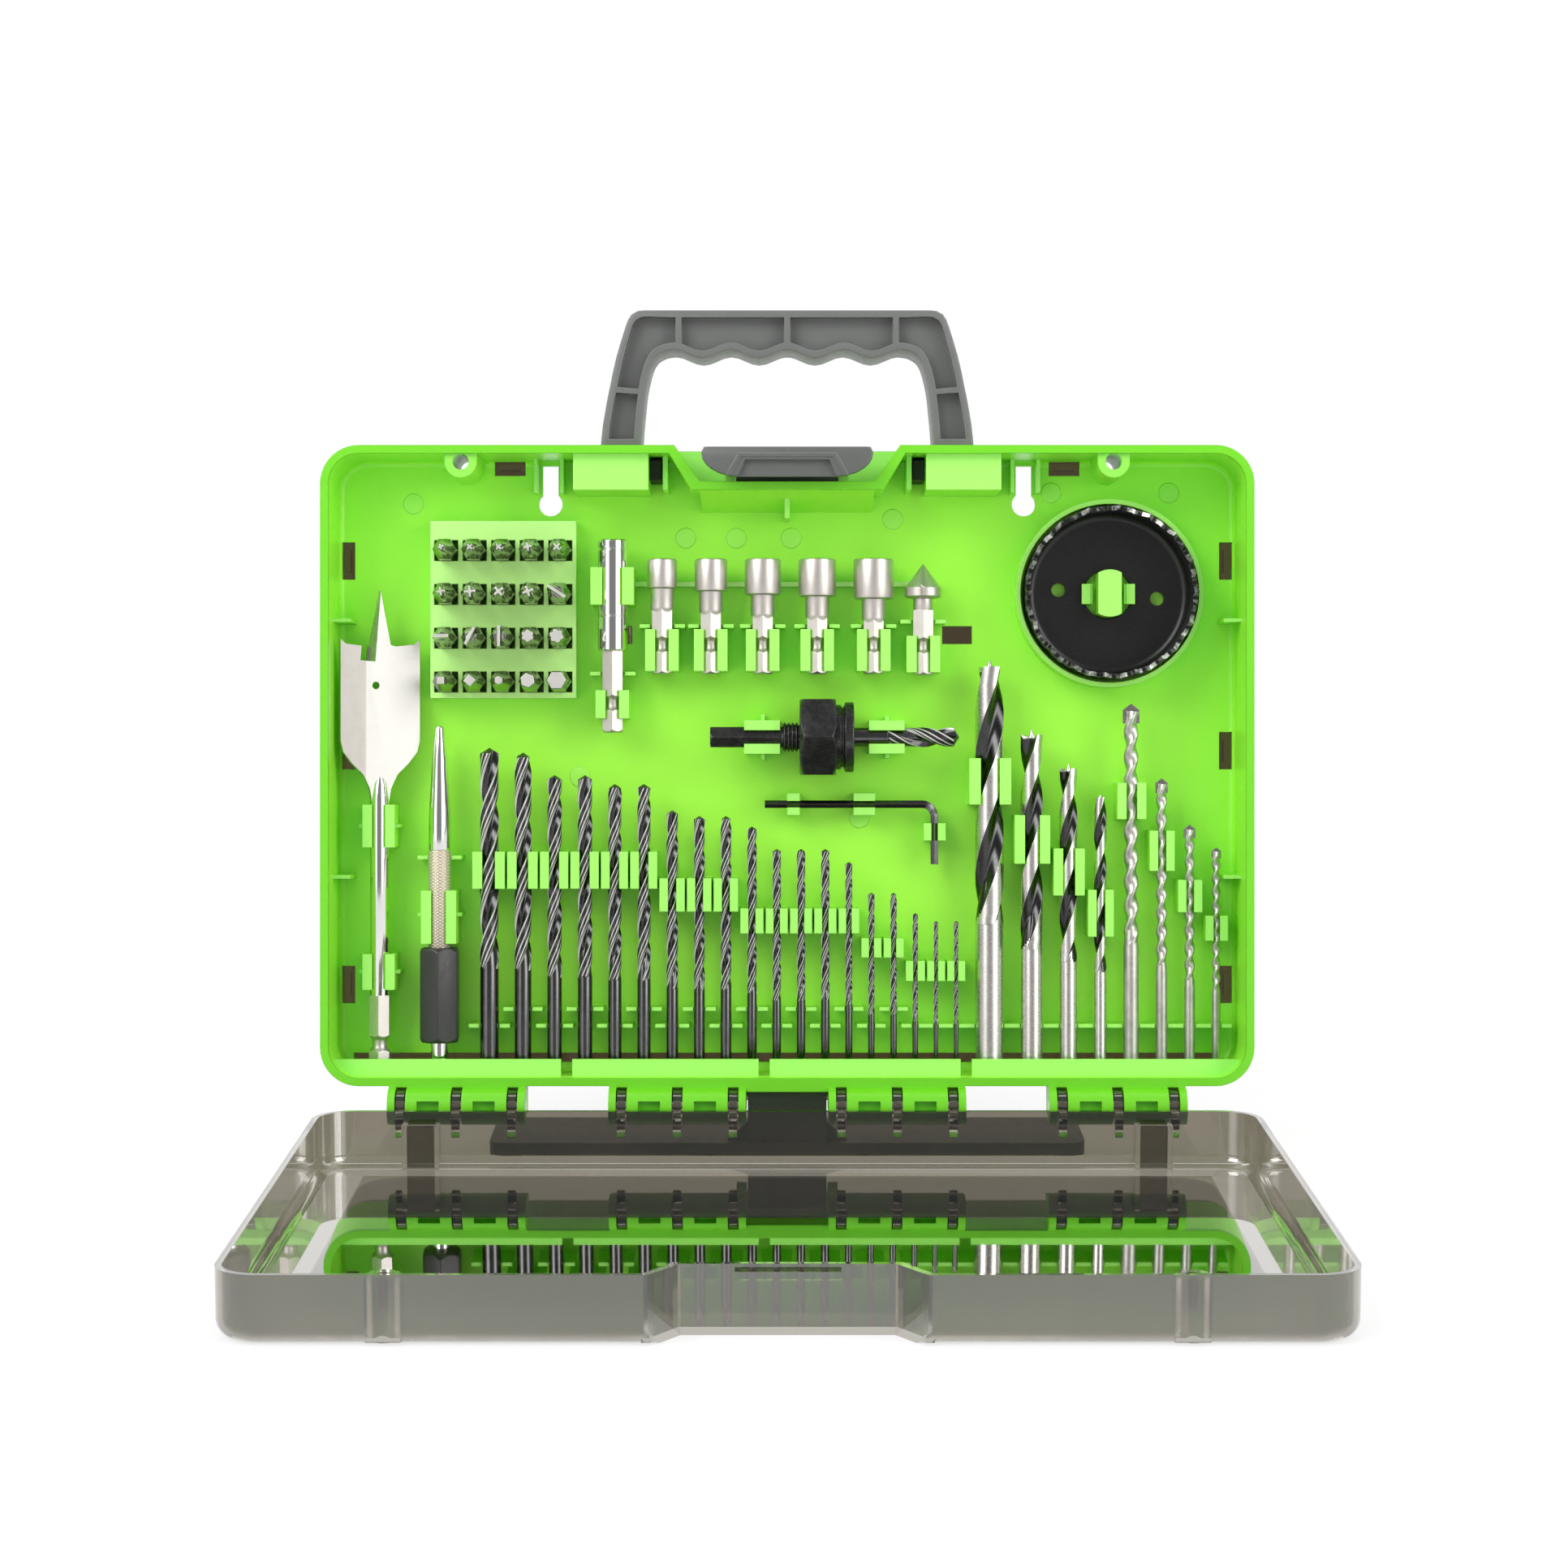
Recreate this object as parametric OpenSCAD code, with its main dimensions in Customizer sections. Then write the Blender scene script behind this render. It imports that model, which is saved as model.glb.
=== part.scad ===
// Drill bit case, standing open: a tray of tools leans back on a fold-out stand, and its clear lid
// lies flat in front, hinged along the tray's lower edge. Millimetres, +Z up, the front faces -Y,
// the origin is at the bottom centre of the open case.
//
// Tray frame, used by most modules: x across, y back from the rim, z up from the bottom wall.

/* [Case] */
// Width of the case
case_w = 290; // [288:1:320]
// Height of the tray, which is also the length of the lid
case_h = 199; // [197:1:225]
// Depth of the tray, rim to back
tray_d = 30; // [29:0.5:36]
// Depth of the lid
lid_d = 18.5; // [17:0.5:26]
// Corner radius of the case
corner_r = 12; // [9:0.5:14]
// Wall and floor of the tray
wall = 2.5; // [2:0.1:2.8]
// Wall and floor of the lid
lid_wall = 1.8; // [1.4:0.1:2.4]
// Rounding of the tray's back edge
tray_edge_r = 3; // [2:0.5:5]
// Rounding of the lid's outer edge
lid_edge_r = 5; // [3:0.5:7]
// Thickness of the back cover
cover_t = 2; // [1.6:0.1:3]
// Step from the edge of the tray to the edge of the back cover
cover_inset = 1; // [0.5:0.1:3]
// Lean of the standing tray behind upright, in degrees
lean = 6.3; // [4:0.1:9]

/* [Hinges] */
// Drop of the hinge line below the bottom wall of the tray
hinge_drop = 6.2; // [6:0.1:7]
// Width of one hinge group
hinge_w = 42.5; // [41:0.5:44]
// Distance of the inner hinge groups from the middle
hinge_inner_x = 34.05; // [33.8:0.05:35]
// Distance of the outer hinge groups from the middle
hinge_outer_x = 102.4; // [98:0.1:110]
// Radius of a tray knuckle
knuckle_r = 5.6; // [5.2:0.1:5.7]
// Radius of a lid hook
hook_r = 5; // [4.2:0.1:5.1]
// Thickness of a lid hook
hook_t = 2.5; // [2:0.1:3]
// Spacing of the three hooks of a group
hook_pitch = 17.3; // [16:0.1:18]
// Radius of a hinge pin
pin_r = 1.6; // [1.2:0.1:2]

/* [Latch] */
// Width of the latch
latch_w = 53; // [50:0.5:54]
// Depth of the latch recess below the top wall
recess_depth = 11.3; // [11:0.1:12.5]
// Width of the recess at its bottom
recess_w = 54.4; // [54.2:0.2:60]
// Width of the recess at the top wall
recess_mouth_w = 70.2; // [64:0.2:80]
// Length of the recess, rim to its back end
recess_len = 20; // [19:0.5:22]
// Reach of the latch past the rim, over the lid
latch_reach = 8.5; // [8:0.1:9.5]
// Width of the catch on the lid
catch_w = 27; // [20:0.5:30]

/* [Handle] */
// Rise of the handle above the case
handle_h = 42.6; // [38:0.2:50]
// Width of the handle where it meets the case
handle_w = 116.5; // [113:0.5:119]
// Width of the handle at the top
handle_top_w = 98.6; // [94:0.2:104]
// Depth of the handle, front to back
handle_t = 20; // [16:0.5:21]
// Thickness of the handle's flanges
flange_t = 3.4; // [2.4:0.1:4]
// Thickness of the handle's web
web_t = 3; // [2:0.1:5]
// Width of a handle leg
leg_w = 13.1; // [12:0.1:14]
// Length of leg held in its socket
tenon_len = 11.5; // [9:0.5:12]

/* [Stand] */
// Width of the stand's foot
foot_w = 188; // [150:1:240]
// Depth of the stand's foot
foot_d = 39; // [30:1:44]
// Thickness of the stand's foot
foot_t = 4; // [3:0.1:4.3]
// Radius of the stand's barrel
barrel_r = 4; // [3.4:0.1:4.1]

/* [Tools] */
// Width across the flats of the driver shanks
drive_af = 6.35; // [6:0.05:6.6]
// Depth of the tool axes behind the rim
tool_depth = 17; // [16.5:0.1:18]
// Clear distance between twist drills
twist_gap = 4.9; // [4.6:0.1:5.1]
// Clear distance between the larger bits at the right
bit_gap = 5.3; // [5.1:0.1:5.5]
// Distance from the left side of the case to the first twist drill
row_start = 51.1; // [51:0.1:51.6]
// Length of the flat bit
spade_len = 152; // [140:1:156]
// Blade width of the flat bit
spade_w = 25.4; // [19:0.2:25.8]
// Length of the punch
punch_len = 109.3; // [100:1:115]
// Diameter of the hole saw
saw_d = 54; // [45:0.5:54.4]
// Height of the hole saw
saw_h = 18; // [14:0.5:22]
// Thickness of the post walls that hold the tools
post_t = 1.95; // [1.6:0.05:2]
// Gap between a tool and its posts
post_gap = 0.15; // [0.1:0.05:0.3]
// Pitch of the insert bits, left to right
insert_pitch_x = 9.02; // [8.8:0.02:9.4]
// Pitch of the insert bits, row to row
insert_pitch_z = 13.85; // [13:0.05:14.2]
// Length of an insert bit
insert_len = 25; // [22:0.5:30]

/* [Hidden] */
$fn = 48;

// Colours
green = "yellowgreen";
smoke = [0.42, 0.40, 0.35, 0.5];
charcoal = [0.24, 0.25, 0.25];
grey = [0.40, 0.41, 0.39];
steel = [0.74, 0.73, 0.72];
black_steel = [0.16, 0.16, 0.16];

// Clearances
fit = 0.25;          // round a fixed piece in its socket
run = 0.06;          // radial, round a turning pin
seat = 0.3;          // between a tool and what it rests on
sink = 0.4;          // length that a rib or post runs into the wall it stands on

// Case
floor_y = tray_d - wall;
cover_y = tray_d + 0.1;
back_y = cover_y + cover_t;
sides = [-1, 1];

// Hinges
hinge_xs = [-hinge_outer_x, -hinge_inner_x, hinge_inner_x, hinge_outer_x];
hook_slot = hook_t + 0.8;
web_d = 10;
web_drop = 9;
window_w = 6.8;
window_h = 3.1;

// Handle
handle_y = tray_d / 2;
leg_x = (handle_w - leg_w) / 2;
socket_wall = 1.9;
socket_out = 8.4;
finger_pitch = 17.5;
finger_r = 23.4;
opening_top = handle_h - 12.7;
opening_top_w = 82.6;
opening_w = handle_w - 2 * leg_w;

// Latch: its pivot sits low in the recess, and its lip hangs over the lid's catch
latch_y = 9;
latch_top = case_h - 1.3;
latch_plate = 3.2;
latch_barrel_r = 3;
latch_barrel_w = 32;
latch_z = case_h - recess_depth + latch_barrel_r + seat;
latch_ear_t = 3;
lip_t = 3.9;
lip_bottom = case_h - recess_depth + 0.7;
catch_h = 2.5;
latch_pin_r = 1.2;

// Stand: the barrel turns between the two inner hinge groups
stand_gap_w = 2 * (hinge_inner_x - hinge_w / 2);
barrel_w = stand_gap_w - 0.8;
stand_ear_t = 3.2;
stand_y = tray_d - 10.5;
stand_drop = 4.6;
stand_pin_r = 1.5;
foot_front = 6;
foot_corner_r = 5;

// Wall fixings
keyhole_x = 75.3;
keyhole_z = case_h - 16.2;
keyhole_r = 3.75;
keyhole_slot_w = 5;
keyhole_top = case_h - 4;
boss_x = 101.5;
boss_z = case_h - 5;
boss_r = 5;
boss_hole_r = 2.5;

// Windows in the floor for the cover's snap tabs: side, top and middle ones
side_window = [4.1, 11.9];
side_window_x = case_w / 2 - 5.35;
side_window_zs = [case_h - 34.2, case_h - 94.6, 29.9];
top_window = [9.8, 4.6];
top_window_x = 88.2;
top_window_z = case_h - 4.8;
mid_window = [9.5, 5.7];
mid_window_x = 54.1;
mid_window_z = case_h - 57.8;
tab_t = 1.2;

// Tool rows
seat_z = wall + seat;
lip_y = 8;
lip_h = 7.7;
lip_wall = 2;
drive_r = drive_af / 2;
drive_c = drive_af / sqrt(3);

// Twist drills, largest first: diameter, length and how many of each
twist_d = [6, 5.4, 4.7, 4.3, 3.75, 3.5, 3.1, 2.75, 2.3, 2.1, 1.8, 1.45];
twist_len = [102.4, 100.9, 93.8, 91, 82.7, 80.9, 77.6, 70.5, 66.4, 56.7, 50.3, 47.8];
twist_count = [1, 1, 2, 2, 1, 2, 1, 3, 1, 2, 1, 2];
twist_flutes = 0.68;
// Brad-point drills
brad_d = [9, 7, 5.6, 3.9];
brad_len = [130.2, 108.3, 97.3, 87.8];
brad_flutes = 0.62;
// Masonry drills
masonry_d = [4.9, 3.7, 3.4, 2.8];
masonry_len = [116.2, 92.7, 78.1, 70.2];
masonry_flutes = 0.66;

// The whole row, left to right: the size of each twist drill, then each diameter
twist_row = [for (i = [0:len(twist_d) - 1]) for (k = [1:twist_count[i]]) i];
row_d = concat([for (i = twist_row) twist_d[i]], brad_d, masonry_d);
brad_first = len(twist_row);
masonry_first = brad_first + len(brad_d);
// Width of case that the clear gaps between tools are drawn for
fit_w = 290;
gap_change = (case_w - fit_w) / (len(row_d) - 1);
function gap_before(n) = gap_change + (n < brad_first ? twist_gap : bit_gap);
function row_x(n) = n == 0 ? row_start - case_w / 2
    : row_x(n - 1) + (row_d[n - 1] + row_d[n]) / 2 + gap_before(n);
// Height of a foot in the row, raised where the round corner of the tray comes under it
function foot_reach(n) = max(abs(row_x(n)) + row_d[n] / 2 - case_w / 2 + corner_r, 0);
function foot_z(n) = seat_z + corner_r - wall - sqrt(pow(corner_r - wall, 2) - pow(foot_reach(n), 2));

// Upper posts of the row: the first drill of each step, and the step's lowest and highest point
post_steps = [[0, 60.8, 72.5], [6, 53.6, 64.1], [9, 46.7, 54.6], [14, 39.1, 45.2],
              [16, 31.7, 38], [19, 87.3, 101.9], [20, 68.7, 84], [21, 58.7, 73.5],
              [22, 45.7, 60.5], [23, 82.7, 94.2], [24, 66.4, 79.1], [25, 53.4, 63.6],
              [26, 44.4, 52.3]];
cradle_low = 16.9;
cradle_high = 22.2;
cradle_t = 1.2;
cradle_wing = 3.5;

// Flat bit and punch
spade_x = 16.5 - case_w / 2;
spade_turn = 20;
spade_t = 2.4;
spade_rod_r = 3;
punch_x = 35.4 - case_w / 2;
punch_r = 3.45;
punch_grip_af = 11.7;
punch_grip_z = 12.3;
punch_grip_len = 30;

// Arbor and hex key, lying across the tray
arbor_z = case_h - 90.5;
arbor_x = -24.2;
nut_x = 3.9;
nut_t = 11.4;
nut_af = 23.7;
arbor_y = floor_y - seat - nut_af / sqrt(3);
collar_t = 5.6;
collar_r = 11;
arbor_r = 7.9;
pilot_d = 6.2;
pilot_len = 33.2;
key_af = 2.4;
key_z = case_h - 111.6;
key_x0 = -7.1;
key_x1 = 46.6;
key_short = 19;
key_bend = 4;
key_y = tray_d - 9;

// Hole saw, open end to the front, held by a sprung peg
saw_x = case_w / 2 - 43.2;
saw_z = case_h - 45;
saw_wall = 1.4;
saw_plate = 3;
saw_hole_r = 7.7;
saw_teeth = 34;
tooth_h = 1.8;
ring_r = saw_d / 2 + 1.2;
ring_t = 1.5;
ring_h = 10;

// Block of insert bits
block_x = 55.2 - case_w / 2;
block_rows = 4;
block_cols = 5;
block_margin_x = 5;
block_margin_top = 9.4;
block_margin_low = 5.1;
block_w = (block_cols - 1) * insert_pitch_x + 2 * block_margin_x;
block_h = (block_rows - 1) * insert_pitch_z + block_margin_top + block_margin_low;
// The block stands clear of the punch below it
block_room = case_h - seat_z - punch_len - block_h;
block_top = case_h - 0.7131 * block_room;
block_y = 20;
pocket_w = drive_af * 2 / sqrt(3) + fit;
pocket_h = drive_af + fit;
insert_y = floor_y - seat;
// Kind of each bit: 0 cross, 1 slotted, 2 star, 3 square, 4 hex; rows run from the top
insert_kinds = [[0, 0, 0, 0, 0], [0, 0, 0, 0, 1], [1, 1, 1, 2, 2], [3, 3, 4, 4, 4]];
// Tip size of each bit, as a share of its shank
insert_tips = [[0.5, 0.5, 0.55, 0.6, 0.6], [0.6, 0.75, 0.75, 0.75, 0.8],
               [0.6, 0.85, 1, 0.7, 0.75], [0.45, 0.5, 0.4, 0.65, 0.85]];

// Upper row of short tools, hung from the top of the case
upper_bottom = case_h - 70.6;
// Clear gaps of the row, which share any change of width
gap_share = 1 + (case_w - fit_w) / 62;
holder_gap = 7.06 * gap_share;
setter_gap = 5.5 * gap_share;
setter_d = [9.4, 10.3, 11.4, 11.9, 12.7];
setter_len = 36.3;
setter_wall = 3;
setter_depth = 8;
setter_neck_r = 3.6;
groove_z = 7.1;
groove_h = 4.3;
groove_r = 2.35;
sleeve_r = 4.7;
holder_x = block_x + block_w / 2 + holder_gap + sleeve_r;
function setter_x(n) = n == 0 ? holder_x + sleeve_r + 6.2 * gap_share + setter_d[0] / 2
    : setter_x(n - 1) + (setter_d[n - 1] + setter_d[n]) / 2 + setter_gap;
sink_d = 11.7;
sink_x = setter_x(4) + (setter_d[4] + sink_d) / 2 + 3.4 * gap_share;
sink_len = 35;
holder_z = case_h - 89;
holder_len = 60.8;
sleeve_len = 35;

// Places in the open, standing case
hinge_z = lid_d;
stand_arm_y = stand_y * cos(lean) + (hinge_drop - stand_drop) * sin(lean);
stand_z = hinge_z + (hinge_drop - stand_drop) * cos(lean) - stand_y * sin(lean);
cover_reach = (case_h - cover_inset - cover_t / 2 + hinge_drop) * sin(lean)
    + (back_y - cover_t / 2) * cos(lean) + cover_t / 2;
handle_reach = (case_h + handle_h + hinge_drop) * sin(lean) + (handle_y + handle_t / 2) * cos(lean);
stand_reach = stand_arm_y + foot_d - foot_front;
back_reach = max(cover_reach, handle_reach, stand_reach);
front_reach = hinge_drop + case_h;
hinge_y = (front_reach - back_reach) / 2;

// ---------------------------------------------------------------------------------- placing

module place_tray() {
    translate([0, hinge_y, hinge_z]) rotate([-lean, 0, 0]) translate([0, 0, hinge_drop]) children();
}

// The lid is drawn closed on the tray, then laid open on the table
module place_lid() {
    translate([0, hinge_y, hinge_z]) rotate([90, 0, 0]) translate([0, 0, hinge_drop]) children();
}

module place_stand() {
    translate([0, hinge_y + stand_arm_y, stand_z]) children();
}

// ------------------------------------------------------------------------------ basic shapes

// Box between two corners
module block(low, high) {
    translate(low) cube(high - low);
}

// Outline in x and z, given thickness from y0 to y1
module slab(y0, y1) {
    translate([0, y1, 0]) rotate([90, 0, 0]) linear_extrude(y1 - y0) children();
}

module rod_x(r, x0, x1) {
    translate([x0, 0, 0]) rotate([0, 90, 0]) cylinder(r = r, h = x1 - x0);
}

module rod_y(r, y0, y1) {
    translate([0, y0, 0]) rotate([-90, 0, 0]) cylinder(r = r, h = y1 - y0);
}

// Six-sided bar along z, with its corners to the front and back
module hex_bar(af, len) {
    rotate([0, 0, 90]) cylinder(d = af * 2 / sqrt(3), h = len, $fn = 6);
}

// Cross-section with rounded back corners, front on y = 0
module edge_section(span, depth, edge) {
    translate([-span / 2, 0]) square([span, depth - edge]);
    translate([-span / 2 + edge, 0]) square([span - 2 * edge, depth]);
    for (s = sides) translate([s * (span / 2 - edge), depth - edge]) circle(edge);
}

// Solid with round corners and a rounded back edge, front on y = 0, bottom on z = 0
module pan(w, h, depth, r, edge) {
    translate([0, 0, h / 2]) {
        rotate([0, 90, 0]) translate([0, 0, r - w / 2]) linear_extrude(w - 2 * r)
            edge_section(h, depth, edge);
        translate([0, 0, r - h / 2]) linear_extrude(h - 2 * r) edge_section(w, depth, edge);
        for (x = sides) for (z = sides)
            translate([x * (w / 2 - r), 0, z * (h / 2 - r)]) rotate([-90, 0, 0])
                rotate_extrude() {
                    square([r, depth - edge]);
                    square([r - edge, depth]);
                    translate([r - edge, depth - edge]) circle(edge);
                }
    }
}

// Trapezoid of the latch recess, grown by a wall
module recess_outline(grow, top) {
    mouth = recess_mouth_w / 2 + 1.3 * grow;
    bottom = recess_w / 2 + grow;
    slope = (recess_mouth_w - recess_w) / 2 / recess_depth;
    polygon([[-mouth - slope * (top - case_h), top], [mouth + slope * (top - case_h), top],
             [bottom, case_h - recess_depth - grow], [-bottom, case_h - recess_depth - grow]]);
}

// Bar with two spiral flutes
module fluted_bar(r, len, lead) {
    waist = 0.42 * r;
    outline = [for (a = [-35, 0, 35, 90, 145, 180, 215, 270])
        (a % 180 == 90 ? waist : r) * [cos(a), sin(a)]];
    linear_extrude(len, twist = -360 * len / lead, slices = ceil(7 * len / lead), segments = 8)
        polygon(outline);
}

// Plain shank with a fluted length above it
module drill_body(d, len, flute, lead) {
    cylinder(d = d, h = len - flute);
    translate([0, 0, len - flute - sink]) fluted_bar(0.485 * d, flute + sink, lead);
}

// Small point that stands on a fluted end
module drill_point(d, z, h) {
    translate([0, 0, z - sink]) cylinder(d1 = 0.36 * d, d2 = 0.2, h = h + sink);
}

// Quarter-inch driver shank with its locking groove near the foot
module drive_shank(len) {
    shoulder = 1;
    hex_bar(drive_af, groove_z);
    hex_top = groove_z + groove_h;
    cone_r = drive_r - 0.05;
    translate([0, 0, groove_z - 0.2]) cylinder(r = groove_r, h = groove_h + 0.4);
    translate([0, 0, groove_z]) cylinder(r1 = cone_r, r2 = groove_r, h = shoulder);
    translate([0, 0, hex_top - shoulder]) cylinder(r1 = groove_r, r2 = cone_r, h = shoulder);
    translate([0, 0, hex_top]) hex_bar(drive_af, len - hex_top);
}

// --------------------------------------------------------------------------- tool holding

// Two sprung posts beside a tool that lies along z at x = 0, with lips over its front
module posts(r, z0, z1, depth = tool_depth) {
    inner = r + post_gap;
    lip_in = 0.62 * r + post_gap;
    front = depth - 0.8 * r - 0.9;
    translate([0, 0, z0]) linear_extrude(z1 - z0) for (s = sides)
        polygon([for (p = [[inner, floor_y + sink], [inner, front + 0.9], [lip_in, front + 0.9],
                           [lip_in, front], [inner + post_t, front],
                           [inner + post_t, floor_y + sink]]) [s * p[0], p[1]]]);
}

// Thin plate across a tool, notched for it, which carries it off the floor
module cradle(r, z, depth = tool_depth) {
    half = r + cradle_wing;
    translate([0, 0, z]) linear_extrude(cradle_t) difference() {
        translate([-half, depth - 0.2]) square([2 * half, floor_y + sink - depth + 0.2]);
        translate([0, depth]) circle(r + post_gap);
    }
}

module row_holders() {
    last = len(row_d) - 1;
    for (n = [0:last]) {
        step = [for (s = post_steps) if (s[0] <= n) s];
        now = step[len(step) - 1];
        low = n >= masonry_first || n >= 16 || n % 2 == 0;
        translate([row_x(n), 0, 0]) {
            posts(row_d[n] / 2, now[1], now[2]);
            cradle(row_d[n] / 2, low ? cradle_low : cradle_high);
        }
    }
}

module upper_holders() {
    for (n = [0:4]) translate([setter_x(n), 0, upper_bottom]) {
        posts(drive_r, 0.9, 14.1);
        cradle(drive_c, groove_z + 7.5);
    }
    translate([sink_x, 0, upper_bottom]) {
        posts(drive_r, 0.5, 12);
        cradle(drive_c, 16);
    }
    translate([holder_x, 0, holder_z]) {
        posts(sleeve_r, 40.1, 51.9);
        posts(drive_r, 4.4, 13.3);
        cradle(drive_c, 18);
    }
    // Thin rib that joins the upper row along the floor
    rib_z = upper_bottom + 28;
    block([holder_x, floor_y - 3, rib_z], [sink_x, floor_y + sink, rib_z + 1]);
}

module left_holders() {
    translate([spade_x, 0, 0]) {
        posts(spade_rod_r, 73.8, 87.3);
        posts(spade_rod_r, 29, 40.3);
        cradle(spade_rod_r, 80);
        cradle(spade_rod_r, 34);
    }
    translate([punch_x, 0, 0]) {
        posts(punch_r, 43.5, 60.3);
        cradle(punch_r, 52);
        cradle(punch_r, 70);
    }
}

// Posts and cradles turned to hold tools that lie along x
module across_holders() {
    translate([arbor_x, 0, arbor_z]) rotate([0, 90, 0]) {
        posts(drive_r, 10.7, 22, arbor_y);
        cradle(drive_c, 16, arbor_y);
        posts(pilot_d / 2, 49.8, 61, arbor_y);
        cradle(pilot_d / 2, 55, arbor_y);
    }
    translate([0, 0, key_z]) rotate([0, 90, 0]) {
        posts(key_af / sqrt(3), 21, 27.8, key_y);
        posts(key_af / sqrt(3), 0, 4, key_y);
    }
    translate([key_x1, 0, 0]) posts(key_af / sqrt(3), key_z - 11.5, key_z - 6, key_y);
}

// Ring wall round the hole saw, and the sprung peg through its middle
module saw_holder() {
    peg_front = floor_y - seat - saw_plate;
    translate([saw_x, 0, saw_z]) {
        difference() {
            rod_y(ring_r + ring_t, floor_y - ring_h, floor_y + sink);
            rod_y(ring_r, floor_y - ring_h - 1, floor_y);
        }
        intersection() {
            rod_y(saw_hole_r - 0.25, floor_y - 11, floor_y + sink);
            block([-3.7, 0, -saw_hole_r], [3.7, tray_d, saw_hole_r]);
        }
        for (s = sides) {
            block([s * 5.9 - 0.9, peg_front - 2, -3.2], [s * 5.9 + 0.9, floor_y + sink, 3.2]);
            block([s * 7 - 1.4, peg_front - 2.4, -3.2], [s * 7 + 1.4, peg_front - seat, 3.2]);
        }
    }
}

// -------------------------------------------------------------------------------- the tray

module tray_shell() {
    difference() {
        pan(case_w, case_h, tray_d, corner_r, tray_edge_r);
        translate([0, -1, wall])
            pan(case_w - 2 * wall, case_h - 2 * wall, floor_y + 1, corner_r - wall, tray_edge_r - 1);
    }
}

// Low wall in front of the tool feet, with three drain notches
module foot_lip() {
    notch_w = 3.5;
    intersection() {
        difference() {
            block([-case_w / 2, lip_y, 0], [case_w / 2, lip_y + lip_wall, lip_h]);
            for (x = [-69, -7.2, 56])
                block([x - notch_w / 2, lip_y - 1, wall],
                      [x + notch_w / 2, lip_y + lip_wall + 1, lip_h + 1]);
        }
        translate([0, 0, wall / 2])
            pan(case_w - wall, case_h - wall, tray_d, corner_r - wall / 2, tray_edge_r);
    }
}

// Trapezoid wall under the latch recess, thicker towards the floor
module recess_liner() {
    slab(0, floor_y + sink) recess_outline(wall, case_h - wall / 2);
    under = case_h - recess_depth - wall;
    half = recess_w / 2;
    translate([-half, 0, 0]) rotate([90, 0, 90]) linear_extrude(2 * half)
        polygon([[3, under + 1], [3, under], [floor_y + sink, under - 5], [floor_y + sink, under + 1]]);
    block([-0.8, 12, under - 8], [0.8, floor_y + sink, under + 1]);
}

module handle_sockets() {
    for (s = sides) {
        low = leg_x - leg_w / 2 - socket_wall;
        high = leg_x + leg_w / 2 + socket_out;
        block([min(s * low, s * high), handle_y - handle_t / 2 - socket_wall - fit,
               case_h - tenon_len - socket_wall - fit],
              [max(s * low, s * high), floor_y + sink, case_h - wall / 2]);
    }
}

module wall_bosses() {
    for (s = sides) translate([s * boss_x, 0, boss_z]) {
        rod_y(boss_r, 1.5, floor_y + sink);
        block([-boss_r, 1.5, 0], [boss_r, floor_y + sink, case_h - boss_z - wall / 2]);
    }
}

// Small stiffening ribs at the side walls, the keyholes and the latch
module small_ribs() {
    for (s = sides) {
        for (z = [case_h - 54.4, 64]) {
            x0 = s * (case_w / 2 - wall / 2);
            x1 = s * (case_w / 2 - 7.9);
            block([min(x0, x1), 12, z], [max(x0, x1), floor_y + sink, z + 1.2]);
        }
        for (d = sides) {
            x = s * keyhole_x + d * (keyhole_slot_w / 2 + 1.6);
            block([x - 0.6, 19, keyhole_z + 3], [x + 0.6, floor_y + sink, case_h - wall / 2]);
        }
        block([s * 38.2 - 0.8, 10, case_h - 13], [s * 38.2 + 0.8, floor_y + sink, case_h - wall / 2]);
    }
}

// Tray half of the hinges: four groups, slotted for the lid's hooks
module hinge_knuckles() {
    for (x = hinge_xs) translate([x, 0, 0]) difference() {
        union() {
            translate([0, 0, -hinge_drop]) rod_x(knuckle_r, -hinge_w / 2, hinge_w / 2);
            block([-hinge_w / 2, 0, -web_drop], [hinge_w / 2, web_d, sink]);
        }
        for (k = [-1:1]) translate([k * hook_pitch, 0, -hinge_drop])
            rod_x(hinge_drop - 0.4, -hook_slot / 2, hook_slot / 2);
        for (s = sides) translate([s * hook_pitch / 2, 0, -hinge_drop])
            block([-window_w / 2, -knuckle_r - 1, -1.2], [window_w / 2, -2.4, window_h - 1.2]);
        translate([0, 0, -hinge_drop]) rod_x(pin_r + 0.02, -hinge_w / 2 - 1, hinge_w / 2 + 1);
    }
    // Rib that closes the stand's slot at the front
    block([-stand_gap_w / 2 - 1, 0, -1.8], [stand_gap_w / 2 + 1, web_d, sink]);
}

module stand_ears() {
    for (s = sides) {
        x = s * (stand_gap_w + stand_ear_t) / 2;
        half = stand_ear_t / 2;
        difference() {
            union() {
                translate([x, stand_y, -stand_drop]) rod_x(barrel_r + 0.4, -half, half);
                block([x - half, web_d - 1, -stand_drop - 2], [x + half, stand_y + barrel_r, sink]);
            }
            translate([0, stand_y, -stand_drop]) rod_x(stand_pin_r + 0.02, -case_w, case_w);
        }
    }
}

module latch_ears() {
    for (s = sides) {
        half = latch_ear_t / 2;
        x = s * (latch_barrel_w / 2 + fit + half);
        difference() {
            union() {
                translate([x, latch_y, latch_z]) rod_x(latch_barrel_r, -half, half);
                block([x - half, latch_y - latch_barrel_r, case_h - recess_depth - sink],
                      [x + half, latch_y + latch_barrel_r, latch_z]);
            }
            translate([0, latch_y, latch_z]) rod_x(latch_pin_r + 0.02, -latch_w, latch_w);
        }
    }
}

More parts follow.
